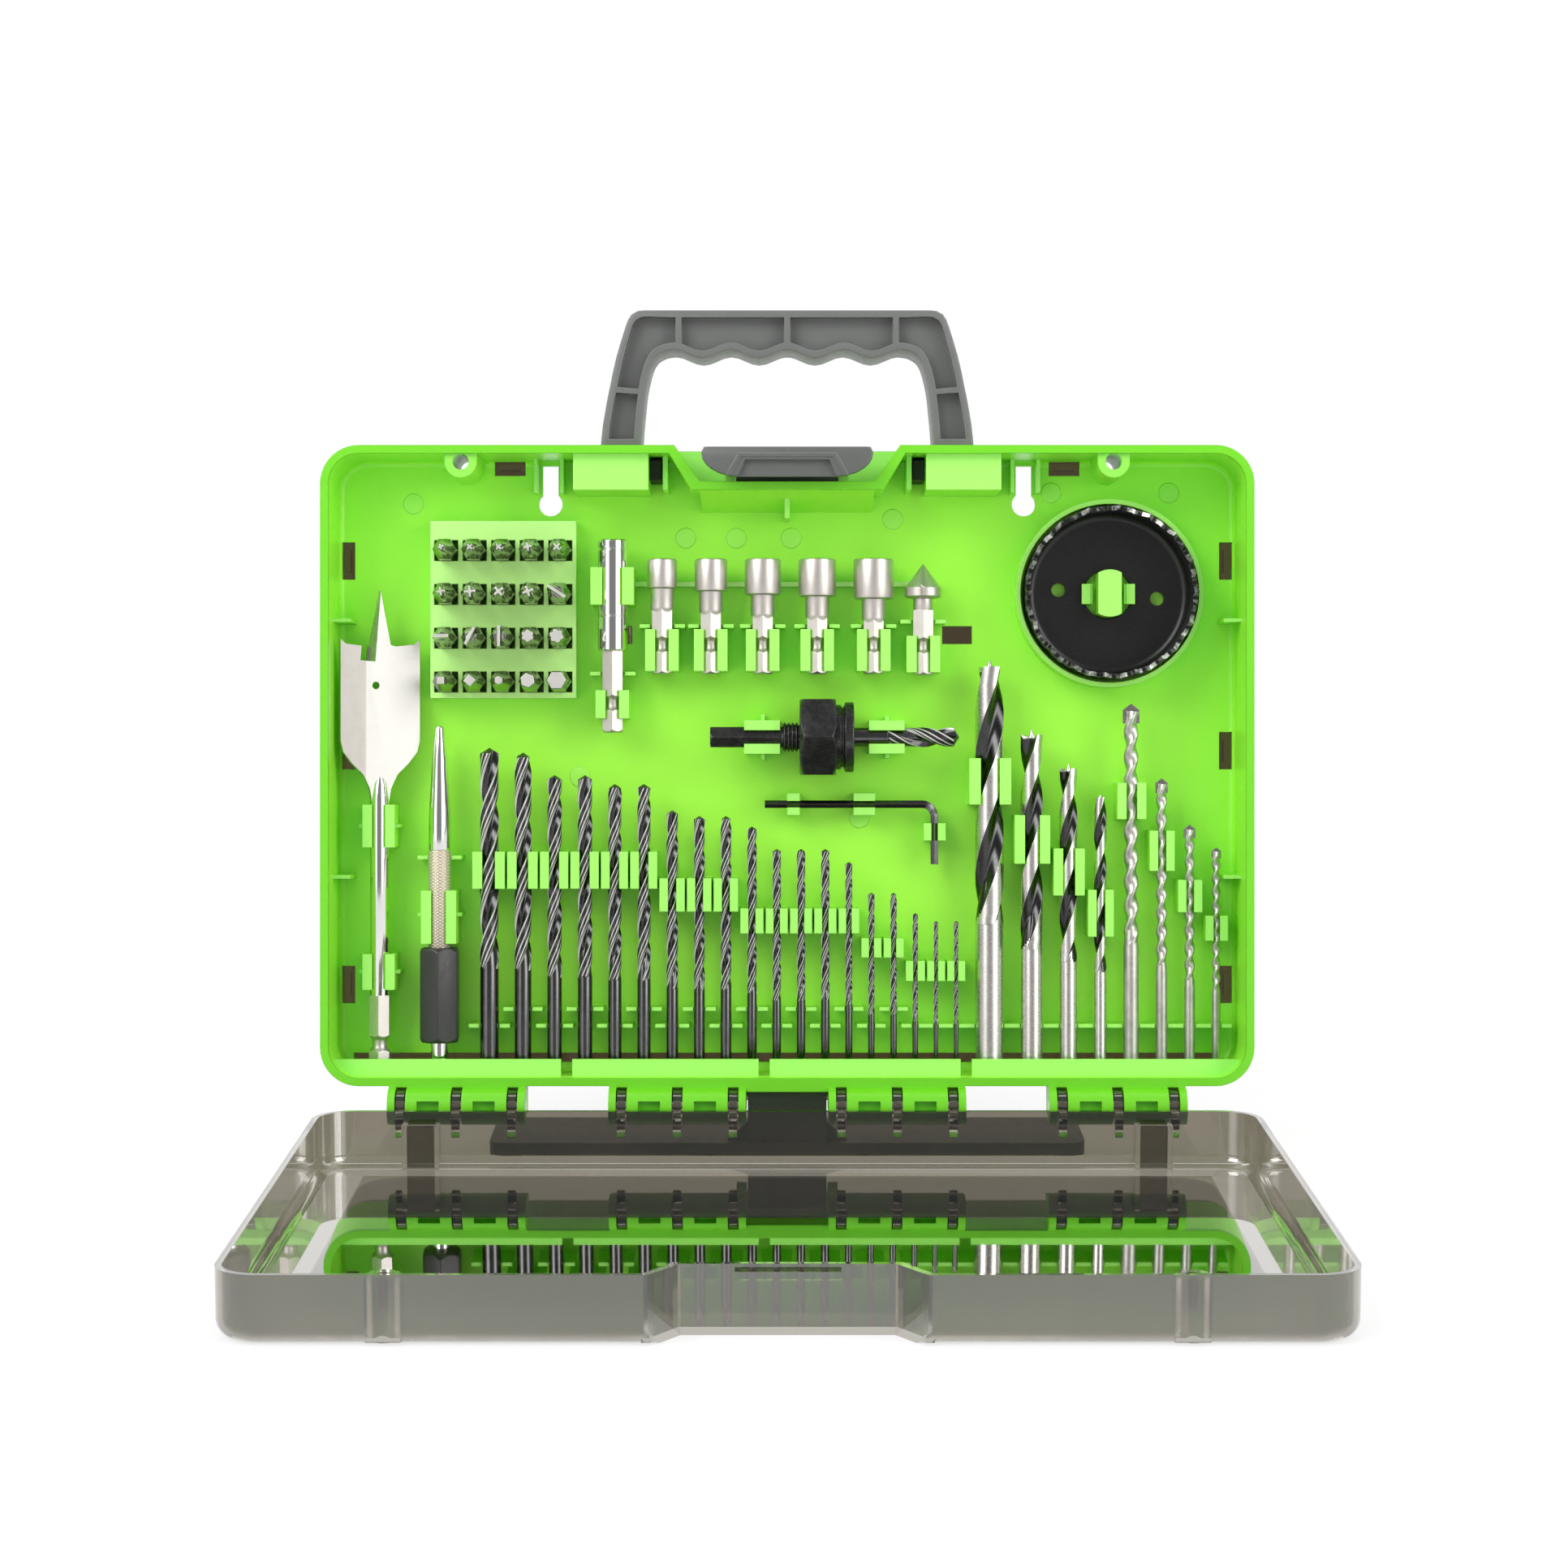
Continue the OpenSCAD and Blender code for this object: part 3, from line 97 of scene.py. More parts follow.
class NodeDesk:
    """Adds and joins the nodes of one material or node group."""

    def __init__(self, tree: bpy.types.NodeTree) -> None:
        """Keeps the node tree that the desk works on."""
        self.tree = tree

    def add(self, kind: str, **values: object) -> bpy.types.Node:
        """Adds a node and sets its properties or its input sockets.

        Args:
            kind: the node's type without the ShaderNode prefix.
            **values: property names, or input names with underscores for spaces.

        Returns:
            The new node.
        """
        prefix = "" if kind.startswith(("NodeGroup", "ShaderNode")) else "ShaderNode"
        node = self.tree.nodes.new(prefix + kind)
        for name, value in values.items():
            if hasattr(node, name):
                setattr(node, name, value)
            else:
                node.inputs[name.replace("_", " ")].default_value = value
        return node

    def link(self, source: object, target: bpy.types.NodeSocket) -> None:
        """Feeds an input from an output, or sets it to a number or a colour.

        Args:
            source: an output socket, a number, or a colour's three parts.
            target: the input socket.
        """
        if isinstance(source, bpy.types.NodeSocket):
            self.tree.links.new(source, target)
        else:
            target.default_value = (*source, 1.0) if isinstance(source, tuple) else source

    def maths(self, operation: str, first: object, second: object = 0.0) -> bpy.types.NodeSocket:
        """Adds a maths node between sockets or numbers and returns its output socket."""
        node = self.add("Math", operation=operation)
        for index, value in enumerate((first, second)):
            self.link(value, node.inputs[index])
        return node.outputs[0]

    def remap(self, value: bpy.types.NodeSocket, *ends: object) -> bpy.types.NodeSocket:
        """Adds a clamped range change.

        Args:
            value: what is changed.
            *ends: both ends of its range, then what they become; numbers or sockets.

        Returns:
            The node's output socket.
        """
        node = self.add("MapRange", clamp=True)
        for index, source in enumerate((value, *ends)):
            self.link(source, node.inputs[index])
        return node.outputs[0]

    def blend(self, share: bpy.types.NodeSocket, first: object, second: object) -> bpy.types.NodeSocket:
        """Adds a colour mix of two sockets or colours and returns its output socket."""
        node = self.add("Mix", data_type="RGBA")
        for index, source in ((0, share), (6, first), (7, second)):
            self.link(source, node.inputs[index])
        return node.outputs[2]

    def dot(self, first: bpy.types.NodeSocket) -> bpy.types.Node:
        """Adds the dot product of a vector and of one that is still to be set, and returns its node."""
        node = self.add("VectorMath", operation="DOT_PRODUCT")
        self.link(first, node.inputs[0])
        return node

    def noise(self, where: bpy.types.NodeSocket, scale: float, detail: float,
              rough: float) -> bpy.types.NodeSocket:
        """Adds a noise over a place.

        Args:
            where: the place.
            scale: how fine it is.
            detail: how many finer layers it has.
            rough: how strong those are.

        Returns:
            Its value.
        """
        node = self.add("TexNoise", Scale=scale, Detail=detail, Roughness=rough)
        self.link(where, node.inputs["Vector"])
        return node.outputs["Fac"]

    def softened(self, radius: object) -> tuple[bpy.types.NodeSocket, bpy.types.NodeSocket]:
        """Rounds edges in the shading.

        Args:
            radius: how wide, in metres; a number or a socket.

        Returns:
            The rounded normal, and how near it is to the true one: 1 away from the edges.
        """
        soft = self.add("Bevel", samples=4)
        self.link(radius, soft.inputs["Radius"])
        turn = self.dot(soft.outputs[0])
        self.link(self.add("NewGeometry").outputs["Normal"], turn.inputs[1])
        return soft.outputs[0], turn.outputs["Value"]

    def relief(self, height: bpy.types.NodeSocket, strength: object, depth: float,
               normal: bpy.types.NodeSocket | None = None) -> bpy.types.NodeSocket:
        """Adds a bump.

        Args:
            height: its height.
            strength: its strength; a number or a socket.
            depth: how far the height reaches, in metres.
            normal: the normal that it changes.

        Returns:
            The changed normal.
        """
        bump = self.add("Bump", Distance=depth)
        self.link(strength, bump.inputs["Strength"])
        self.link(height, bump.inputs["Height"])
        if normal is not None:
            self.link(normal, bump.inputs["Normal"])
        return bump.outputs[0]


SKIN_OUTPUTS = {"Color": "NodeSocketColor", "Roughness": "NodeSocketFloat", "Normal": "NodeSocketVector"}


def new_group(name: str, inputs: dict[str, object]) -> tuple[NodeDesk, bpy.types.Node, bpy.types.Node]:
    """Starts a node group for a skin, which gives a colour, a roughness and a normal.

    Args:
        name: the group's name.
        inputs: socket names with their default values; a number makes a float socket.

    Returns:
        A desk on the group, and its input and output nodes.
    """
    tree = bpy.data.node_groups.new(name, "ShaderNodeTree")
    desk = NodeDesk(tree)
    for label, value in inputs.items():
        kind = "NodeSocketColor" if isinstance(value, tuple) else "NodeSocketFloat"
        desk.link(value, tree.interface.new_socket(label, in_out="INPUT", socket_type=kind))
    for label, kind in SKIN_OUTPUTS.items():
        tree.interface.new_socket(label, in_out="OUTPUT", socket_type=kind)
    return desk, desk.add("NodeGroupInput"), desk.add("NodeGroupOutput")


class Effects:
    """The shader effects that several finishes share, each built once as a node group."""

    _built: dict[str, bpy.types.NodeTree] = {}

    @classmethod
    def get(cls, name: str) -> bpy.types.NodeTree:
        """Returns the group of that name, building it at its first use."""
        if name not in cls._built:
            cls._built[name] = getattr(cls, "_" + name)()
        return cls._built[name]

    @staticmethod
    def _moulded_skin() -> bpy.types.NodeTree:
        """Builds the skin of moulded plastic: faint flow marks, fine grain, and softened edges with a painted
        highlight along them.
        """
        desk, given, out = new_group("moulded_skin", {
            "Base": (0.2, 0.6, 0.02), "Edge": (0.3, 0.8, 0.1), "Grain": 0.3, "Flow": 0.5,
            "Rough Low": 0.25, "Rough High": 0.4, "Edge Radius": 0.0004})
        value = given.outputs
        where = desk.add("TexCoord").outputs["Object"]
        flow = desk.noise(where, 14.0, 3.0, 0.55)
        fine = desk.noise(where, 1900.0, 2.0, 0.6)
        specks = desk.noise(where, 420.0, 4.0, 0.7)
        normal, sameness = desk.softened(value["Edge Radius"])
        # Mask of the edges, where the Edge colour is mixed in as a painted highlight.
        edge = desk.remap(sameness, 0.995, 0.82, 0.0, 0.75)
        tone = desk.maths("MULTIPLY", desk.maths("SUBTRACT", flow, 0.5), value["Flow"])
        shade = desk.add("HueSaturation")
        desk.link(value["Base"], shade.inputs["Color"])
        desk.link(desk.maths("ADD", tone, 1.0), shade.inputs["Value"])
        desk.link(desk.blend(edge, shade.outputs["Color"], value["Edge"]), out.inputs["Color"])
        rough = desk.remap(specks, 0.35, 0.65, value["Rough Low"], value["Rough High"])
        desk.link(rough, out.inputs["Roughness"])
        desk.link(desk.relief(fine, value["Grain"], 0.00004, normal), out.inputs["Normal"])
        return desk.tree

    @staticmethod
    def _worked_metal() -> bpy.types.NodeTree:
        """Builds the skin of turned or ground steel: fine tool marks, stains, and bright edges that are
        partly wear and partly a painted highlight.
        """
        desk, given, out = new_group("worked_metal", {
            "Base": (0.6, 0.6, 0.6), "Stain": (0.3, 0.29, 0.27), "Edge": (0.8, 0.8, 0.8),
            "Stain Share": 0.4, "Edge Share": 0.6, "Marks": 0.3, "Rough Low": 0.2, "Rough High": 0.4,
            "Across": 900.0, "Along": 9000.0})
        value = given.outputs
        where = desk.add("TexCoord").outputs["Object"]
        upright = desk.add("Mapping")
        upright.inputs["Rotation"].default_value = (LEAN, 0.0, 0.0)
        desk.link(where, upright.inputs["Vector"])
        size = desk.add("CombineXYZ")
        for index, name in enumerate(("Across", "Across", "Along")):
            desk.link(value[name], size.inputs[index])
        stretched = desk.add("VectorMath", operation="MULTIPLY")
        desk.link(upright.outputs[0], stretched.inputs[0])
        desk.link(size.outputs[0], stretched.inputs[1])
        marks = desk.noise(stretched.outputs[0], 1.0, 3.0, 0.6)
        cloud = desk.noise(where, 260.0, 5.0, 0.7)
        normal, sameness = desk.softened(0.00025)
        # Edge mask: the Edge colour stands partly for wear and partly for a painted highlight.
        edge_wear_and_highlight = desk.maths("MULTIPLY", desk.remap(sameness, 0.99, 0.8, 0.0, 1.0), value["Edge Share"])
        stain = desk.maths("MULTIPLY", desk.remap(cloud, 0.42, 0.68, 0.0, 1.0), value["Stain Share"])
        dirty = desk.blend(stain, value["Base"], value["Stain"])
        desk.link(desk.blend(edge_wear_and_highlight, dirty, value["Edge"]), out.inputs["Color"])
        rough = desk.remap(marks, 0.3, 0.7, value["Rough Low"], value["Rough High"])
        desk.link(rough, out.inputs["Roughness"])
        desk.link(desk.relief(marks, value["Marks"], 0.00003, normal), out.inputs["Normal"])
        return desk.tree


def start_material(name: str) -> tuple[bpy.types.Material, NodeDesk, bpy.types.Node]:
    """Makes a material with nodes and returns it with its desk and its Principled shader."""
    material = bpy.data.materials.new(name)
    material.use_nodes = True
    desk = NodeDesk(material.node_tree)
    return material, desk, material.node_tree.nodes["Principled BSDF"]


def start_skinned(name: str, effect: str, values: dict[str, object]) -> tuple:
    """Makes a material whose roughness and normal come from a shared effect.

    Args:
        name: the material's name.
        effect: the effect's name.
        values: its input names with their values.

    Returns:
        The material, its desk, its shader and the effect's colour.
    """
    material, desk, shader = start_material(name)
    skin = desk.add("Group", node_tree=Effects.get(effect))
    for label, value in values.items():
        desk.link(value, skin.inputs[label])
    for label in ("Roughness", "Normal"):
        desk.link(skin.outputs[label], shader.inputs[label])
    return material, desk, shader, skin.outputs["Color"]


@dataclass(frozen=True)
class MouldedPlastic:
    """An opaque moulded plastic, with a painted highlight on its edges and, where given, painted sheen and
    painted shade on the tray's front.
    """

    name: str
    base: Colour
    # colour of the painted highlight along the edges
    edge: Colour
    rough: tuple[float, float] = (0.28, 0.42)
    grain: float = 0.25
    flow: float = 0.12
    edge_radius: float = 0.0004
    # paler colour painted as sheen on front faces that stand above the tray's floor
    raised_sheen: Colour | None = None
    # darker colour painted as shade at the front of the rim
    rim: Colour = (0.0, 0.0, 0.0)
    # depths, in metres, over which the painted sheen and the painted shade fade in
    sheen_depth: tuple[float, float] = (0.0262, 0.0235)
    rim_shade_depth: tuple[float, float] = (0.0022, 0.0008)

    def make(self) -> bpy.types.Material:
        """Builds the material."""
        material, desk, shader, colour = start_skinned(self.name, "moulded_skin", {
            "Base": self.base, "Edge": self.edge, "Rough Low": self.rough[0], "Rough High": self.rough[1],
            "Grain": self.grain, "Flow": self.flow, "Edge Radius": self.edge_radius})
        if self.raised_sheen:
            # Lays the painted sheen and the painted shade over the skin's colour.
            raised_sheen, rim = self.sheen_and_shade_masks(desk)
            colour = desk.blend(rim, desk.blend(raised_sheen, colour, self.raised_sheen), self.rim)
        desk.link(colour, shader.inputs["Base Color"])
        return material

    def sheen_and_shade_masks(self, desk: NodeDesk) -> tuple[bpy.types.NodeSocket, bpy.types.NodeSocket]:
        """Masks where light is painted: a paler sheen on front faces that stand above the tray's floor, and
        darker shade on what lies at its rim.

        Args:
            desk: the desk of the material's nodes.

        Returns:
            The masks of the painted sheen on faces above the floor and of the painted shade at the rim.
        """
        where = desk.add("SeparateXYZ")
        desk.link(desk.add("TexCoord").outputs["Object"], where.inputs[0])
        back = desk.maths("SUBTRACT", where.outputs[1], TRAY.hinge_y * MM)
        rise = desk.maths("SUBTRACT", where.outputs[2], TRAY.hinge_z * MM)
        depth = desk.maths("SUBTRACT", desk.maths("MULTIPLY", back, math.cos(LEAN)),
                           desk.maths("MULTIPLY", rise, math.sin(LEAN)))
        facing_front = desk.dot(desk.add("NewGeometry").outputs["Normal"])
        facing_front.inputs[1].default_value = (0.0, -math.cos(LEAN), math.sin(LEAN))
        mask = desk.maths("MULTIPLY", desk.remap(depth, *self.sheen_depth, 0.0, 1.0),
                          desk.remap(facing_front.outputs["Value"], 0.75, 0.95, 0.0, 1.0))
        return mask, desk.remap(depth, *self.rim_shade_depth, 0.0, 1.0)


@dataclass(frozen=True)
class SmokePlastic:
    """Clear smoke-brown plastic that shows what is behind it."""

    name: str
    tint: Colour
    rough: tuple[float, float] = (0.015, 0.05)
    ior: float = 1.49
    coat: float = 0.0
    coat_rough: float = 0.02
    coat_ior: float = 2.0
    frosted: float = 0.0
    front: float = -0.128

    def make(self) -> bpy.types.Material:
        """Builds the material, with a frosted front face where it is asked for."""
        material, desk, shader = start_material(self.name)
        where = desk.add("TexCoord").outputs["Object"]
        haze = desk.noise(where, 60.0, 4.0, 0.6)
        darker = tuple(0.9 * part for part in self.tint)
        desk.link(desk.blend(haze, self.tint, darker), shader.inputs["Base Color"])
        rough = desk.remap(haze, 0.4, 0.7, *self.rough)
        if self.frosted:
            place = desk.add("SeparateXYZ")
            desk.link(where, place.inputs[0])
            mask = desk.remap(place.outputs[1], self.front + 0.001, self.front, 0.0, self.frosted)
            rough = desk.maths("MAXIMUM", rough, mask)
        desk.link(rough, shader.inputs["Roughness"])
        for label, value in (("Transmission Weight", 1.0), ("IOR", self.ior), ("Coat Weight", self.coat),
                             ("Coat Roughness", self.coat_rough), ("Coat IOR", self.coat_ior)):
            shader.inputs[label].default_value = value
        return material


@dataclass(frozen=True)
class WorkedSteel:
    """Steel with tool marks, stains, and edges lightened partly by wear and partly as a painted highlight."""

    name: str
    base: Colour
    stain: Colour
    # edge colour: partly wear, partly a painted highlight
    edge: Colour
    rough: tuple[float, float] = (0.2, 0.38)
    stain_share: float = 0.35
    edge_share: float = 0.5
    marks: float = 0.25
    pitch: tuple[float, float] = (900.0, 9000.0)
    metallic: float = 1.0

    def make(self) -> bpy.types.Material:
        """Builds the material."""
        material, desk, shader, colour = start_skinned(self.name, "worked_metal", {
            "Base": self.base, "Stain": self.stain, "Edge": self.edge, "Rough Low": self.rough[0],
            "Rough High": self.rough[1], "Across": self.pitch[0], "Along": self.pitch[1],
            "Stain Share": self.stain_share, "Edge Share": self.edge_share, "Marks": self.marks})
        desk.link(colour, shader.inputs["Base Color"])
        shader.inputs["Metallic"].default_value = self.metallic
        return material


@dataclass(frozen=True)
class KnurledMetal:
    """Metal with a crossed diamond knurl and painted shade in its grooves."""

    name: str
    base: Colour
    # colour of the painted shade in the knurl's grooves
    groove: Colour
    pitch: float = 0.00085
    slant: float = 32.0
    metallic: float = 0.55
    rough: float = 0.5

    WAVE_LENGTH = 0.3142

    def make(self) -> bpy.types.Material:
        """Builds the material."""
        material, desk, shader = start_material(self.name)
        where = desk.add("TexCoord").outputs["Object"]
        heights = []
        for sign in (-1.0, 1.0):
            turned = desk.add("Mapping")
            turned.inputs["Rotation"].default_value = (0.0, math.radians(sign * self.slant), 0.0)
            desk.link(where, turned.inputs["Vector"])
            wave = desk.add("TexWave", wave_type="BANDS", bands_direction="Z",
                            Scale=self.WAVE_LENGTH / self.pitch)
            desk.link(turned.outputs[0], wave.inputs["Vector"])
            heights.append(wave.outputs["Fac"])
        height = desk.maths("MULTIPLY", *heights)
        # The grooves take the darker colour: painted shade.
        desk.link(desk.blend(height, self.groove, self.base), shader.inputs["Base Color"])
        desk.link(desk.relief(height, 0.5, 0.0002), shader.inputs["Normal"])
        shader.inputs["Metallic"].default_value = self.metallic
        shader.inputs["Roughness"].default_value = self.rough
        return material


class Finish(Enum):
    """The finishes of the case and its tools."""

    # In each plastic the second colour is its painted edge highlight; the green's third colour is a paler
    # painted sheen on front faces standing above the floor, its fourth a darker painted shade at the rim's
    # front.
    GREEN = MouldedPlastic("green_plastic", (0.33, 0.87, 0.045), (0.38, 0.87, 0.09),
                           raised_sheen=(0.34, 0.82, 0.13), rim=(0.145, 0.58, 0.010))
    BLOCK = MouldedPlastic("block_plastic", (0.50, 0.90, 0.25), (0.6, 0.93, 0.35))
    # Paler green painted on the pin marks as their sheen.
    PIN_SHEEN = MouldedPlastic("pin_mark_sheen_plastic", (0.33, 0.84, 0.08), (0.33, 0.84, 0.08))
    CHARCOAL = MouldedPlastic("charcoal_plastic", (0.125, 0.13, 0.125), (0.22, 0.225, 0.22),
                              rough=(0.34, 0.5), flow=0.3, edge_radius=0.0005)
    GREY = MouldedPlastic("grey_plastic", (0.095, 0.1, 0.095), (0.22, 0.23, 0.22), rough=(0.34, 0.5))
    RUBBER = MouldedPlastic("grip_plastic", (0.025, 0.025, 0.025), (0.07, 0.07, 0.07), rough=(0.3, 0.42))
    PANEL = MouldedPlastic("dark_panel", (0.03, 0.029, 0.025), (0.03, 0.029, 0.025), rough=(0.4, 0.5))
    # Near-black, painted as the shade inside slots.
    SLOT_SHADE = MouldedPlastic("slot_shade_plastic", (0.006, 0.008, 0.004), (0.006, 0.008, 0.004), rough=(0.6, 0.7))
    SMOKE = SmokePlastic("smoke_plastic", (0.27, 0.243, 0.185), coat=1.0, frosted=0.45)
    COVER = SmokePlastic("cover_plastic", (0.06, 0.045, 0.022))
    BRIGHT = WorkedSteel("bright_steel", (0.71, 0.68, 0.65), (0.5, 0.47, 0.44), (0.93, 0.92, 0.9))
    SATIN = WorkedSteel("satin_steel", (0.62, 0.58, 0.54), (0.5, 0.46, 0.42), (0.85, 0.83, 0.8),
                        rough=(0.36, 0.5))
    GROUND = WorkedSteel("ground_steel", (0.73, 0.71, 0.67), (0.66, 0.63, 0.58), (0.95, 0.95, 0.93),
                         rough=(0.38, 0.55), stain_share=0.2, marks=0.35, pitch=(300.0, 14000.0))
    CHROME = WorkedSteel("chrome_steel", (0.80, 0.79, 0.78), (0.7, 0.68, 0.67), (0.95, 0.95, 0.95),
                         rough=(0.05, 0.12), stain_share=0.1, marks=0.05)
    BLASTED = WorkedSteel("blasted_steel", (0.56, 0.54, 0.51), (0.33, 0.31, 0.29), (0.8, 0.79, 0.76),
                          rough=(0.36, 0.55), stain_share=0.6, marks=0.4, pitch=(2600.0, 2600.0))
    CARBIDE = WorkedSteel("carbide_steel", (0.42, 0.40, 0.37), (0.25, 0.22, 0.2), (0.7, 0.7, 0.68))
    TOOLED = WorkedSteel("tooled_steel", (0.40, 0.41, 0.36), (0.2, 0.21, 0.17), (0.85, 0.86, 0.82),
                         rough=(0.16, 0.3), edge_share=0.7)
    OXIDE = WorkedSteel("oxide_steel", (0.13, 0.13, 0.13), (0.07, 0.068, 0.066), (0.5, 0.5, 0.49),
                        rough=(0.14, 0.26), edge_share=0.6)
    FLUTE = WorkedSteel("flute_steel", (0.07, 0.07, 0.07), (0.03, 0.03, 0.03), (0.4, 0.4, 0.39),
                        rough=(0.16, 0.3), edge_share=0.6)
    # Bright, only part-metallic faces that look lit whatever they face: painted highlight lines down the
    # twist drills' lands.
    LAND_HIGHLIGHT = WorkedSteel("land_highlight_steel", (0.58, 0.57, 0.55), (0.5, 0.49, 0.48), (0.9, 0.9, 0.89),
                         rough=(0.4, 0.55), metallic=0.4)
    BLACKED = WorkedSteel("blacked_steel", (0.045, 0.045, 0.045), (0.13, 0.13, 0.13), (0.45, 0.45, 0.44),
                          rough=(0.2, 0.34), stain_share=0.5, metallic=0.8)
    ENAMEL = WorkedSteel("enamel_steel", (0.013, 0.013, 0.013), (0.009, 0.009, 0.009), (0.12, 0.12, 0.12),
                         rough=(0.25, 0.42), metallic=0.3)
    WORN = WorkedSteel("worn_steel", (0.02, 0.02, 0.02), (0.8, 0.8, 0.78), (0.3, 0.3, 0.3),
                       rough=(0.25, 0.42), stain_share=0.9, edge_share=0.4, metallic=0.7)
    KNURL = KnurledMetal("knurled_metal", (0.86, 0.78, 0.64), (0.45, 0.39, 0.3))


_made: dict[str, bpy.types.Material] = {}


def material_of(finish: Finish) -> bpy.types.Material:
    """Returns the material of a finish, made at its first use."""
    if finish.name not in _made:
        _made[finish.name] = finish.value.make()
    return _made[finish.name]


def dress(node: str, finish: Finish) -> None:
    """Gives a CAD node a finish.

    Args:
        node: the node's name.
        finish: the finish that its whole surface takes.
    """
    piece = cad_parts[node]
    piece.data.materials.clear()
    piece.data.materials.append(material_of(finish))
    LOG.info("dressed %s in %s", node, finish.value.name)


# ------------------------------------------------------------------------------- the bench


class Workpiece:
    """One mesh on the bench, shaped in millimetres along +Z before it is set in its place."""

    def __init__(self, piece: bpy.types.Object) -> None:
        """Keeps the object and moves its place into its mesh."""
        self.piece = piece
        bpy.ops.object.transform_apply(location=True, rotation=True, scale=True)

    # starting shapes

    @classmethod
    def disc(cls, sides: int, radius: float, height: float = 0.0, filled: bool = True,
             turn: float = 0.0) -> "Workpiece":
        """Starts from a round disc or ring.

        Args:
            sides: how many corners it has.
            radius: its radius.
            height: its height.
            filled: gives it a face.
            turn: its turn about Z.

        Returns:
            The new workpiece.
        """
        bpy.ops.object.select_all(action="DESELECT")
        bpy.ops.mesh.primitive_circle_add(vertices=sides, radius=radius, location=(0.0, 0.0, height),
                                          rotation=(0.0, 0.0, turn),
                                          fill_type="NGON" if filled else "NOTHING")
        return cls(bpy.context.object)

    @classmethod
    def turned(cls, profile: Sequence[tuple[float, float]], sides: int = 28,
               shares: Sequence[float] = (), turn: float = 0.0) -> "Workpiece":
        """Turns a bar by extruding and resizing a disc from step to step.

        Args:
            profile: radius and height of each step, from the foot on.
            sides: how many corners its section has.
            shares: radius shares of neighbouring corners, repeated round the section.
            turn: turn of the section about Z.

        Returns:
            The new workpiece.
        """
        radius, height = profile[0]
        work = cls.disc(sides, radius, height, turn=turn).opened()
        work.notch_section(shares, sides, height)
        work.climb(profile)
        return work.closed()

    @classmethod
    def spiral(cls, diameter: float, low: float, high: float, lead: float, shares: Sequence[float],
               phase: float = 0.0, pace: int = 18) -> "Workpiece":
        """Winds a bar with two right-hand flutes.

        Args:
            diameter: the bar's diameter.
            low: where the flutes start.
            high: where they end.
            lead: the height of one turn.
            shares: radius shares round half of the section.
            phase: turn of the section at the top.
            pace: steps of one turn.

        Returns:
            The new workpiece, open at its top.
        """
        turns = (high - low) / lead
        sides = 2 * len(shares)
        work = cls.disc(sides, diameter / 2, low, filled=False, turn=phase - math.tau * turns).opened()
        work.notch_section(shares, sides, low)
        bpy.ops.object.mode_set(mode="OBJECT")
        screw = work.piece.modifiers.new("winding", "SCREW")
        screw.axis, screw.angle, screw.screw_offset = "Z", math.tau * turns, high - low
        screw.steps = screw.render_steps = max(8, math.ceil(pace * turns))
        bpy.ops.object.modifier_apply(modifier="winding")
        work.opened().pick(lambda at: at.z < low + TOUCH)
        bpy.ops.mesh.edge_face_add()
        bpy.ops.object.mode_set(mode="OBJECT")
        return work

    def section_turn(self, low: float, shares: Sequence[float]) -> float:
        """Finds how far the section of a wound bar is turned at its foot.

        Args:
            low: height of its foot.
            shares: the radius shares that it was wound with.

        Returns:
            The turn of the first corner.
        """
        foot = [vertex.co for vertex in self.piece.data.vertices if vertex.co.z < low + TOUCH]
        deepest = min(foot, key=lambda at: at.xy.length)
        return math.atan2(deepest.y, deepest.x) - math.pi * shares.index(min(shares)) / len(shares)

    @classmethod
    def plate(cls, outline: Sequence[tuple[float, float]], low: float, high: float) -> "Workpiece":
        """Cuts a plate to an outline, one corner after the other.

        Args:
            outline: the corners in x and y, in order.
            low: height of its lower face.
            high: height of its upper face.

        Returns:
            The new workpiece.
        """
        work = cls.disc(len(outline), 10.0, low).opened()
        starts = [vertex.co.copy() for vertex in bmesh.from_edit_mesh(work.piece.data).verts]
        for index, (x, y) in enumerate(outline):
            work.pick_numbers({index})
            bpy.ops.transform.translate(value=(x - starts[index].x, y - starts[index].y, 0.0))
        bpy.ops.mesh.select_all(action="SELECT")
        bpy.ops.mesh.extrude_region_move(TRANSFORM_OT_translate={"value": (0.0, 0.0, high - low)})
        return work.closed()

    # picking and shaping

    def pick(self, test: Callable[[Vector], bool], faces: bool = False) -> None:
        """Selects the corners, or the faces, whose place passes a test.

        Args:
            test: takes a corner's place or a face's middle.
            faces: picks faces.
        """
        self.choose(lambda item: test(item.calc_center_median() if faces else item.co), faces)

    def pick_numbers(self, numbers: set[int]) -> None:
        """Selects corners by their numbers."""
        self.choose(lambda item: item.index in numbers)

    def choose(self, test: Callable[[object], bool], faces: bool = False) -> None:
        """Selects the corners, or the faces, that pass a test.

        Args:
            test: takes a corner or a face.
            faces: chooses among the faces.
        """
        bpy.ops.mesh.select_mode(type="FACE" if faces else "VERT")
        bpy.ops.mesh.select_all(action="DESELECT")
        mesh = bmesh.from_edit_mesh(self.piece.data)
        for item in mesh.faces if faces else mesh.verts:
            item.select_set(test(item))
        mesh.select_flush_mode()
        bmesh.update_edit_mesh(self.piece.data)

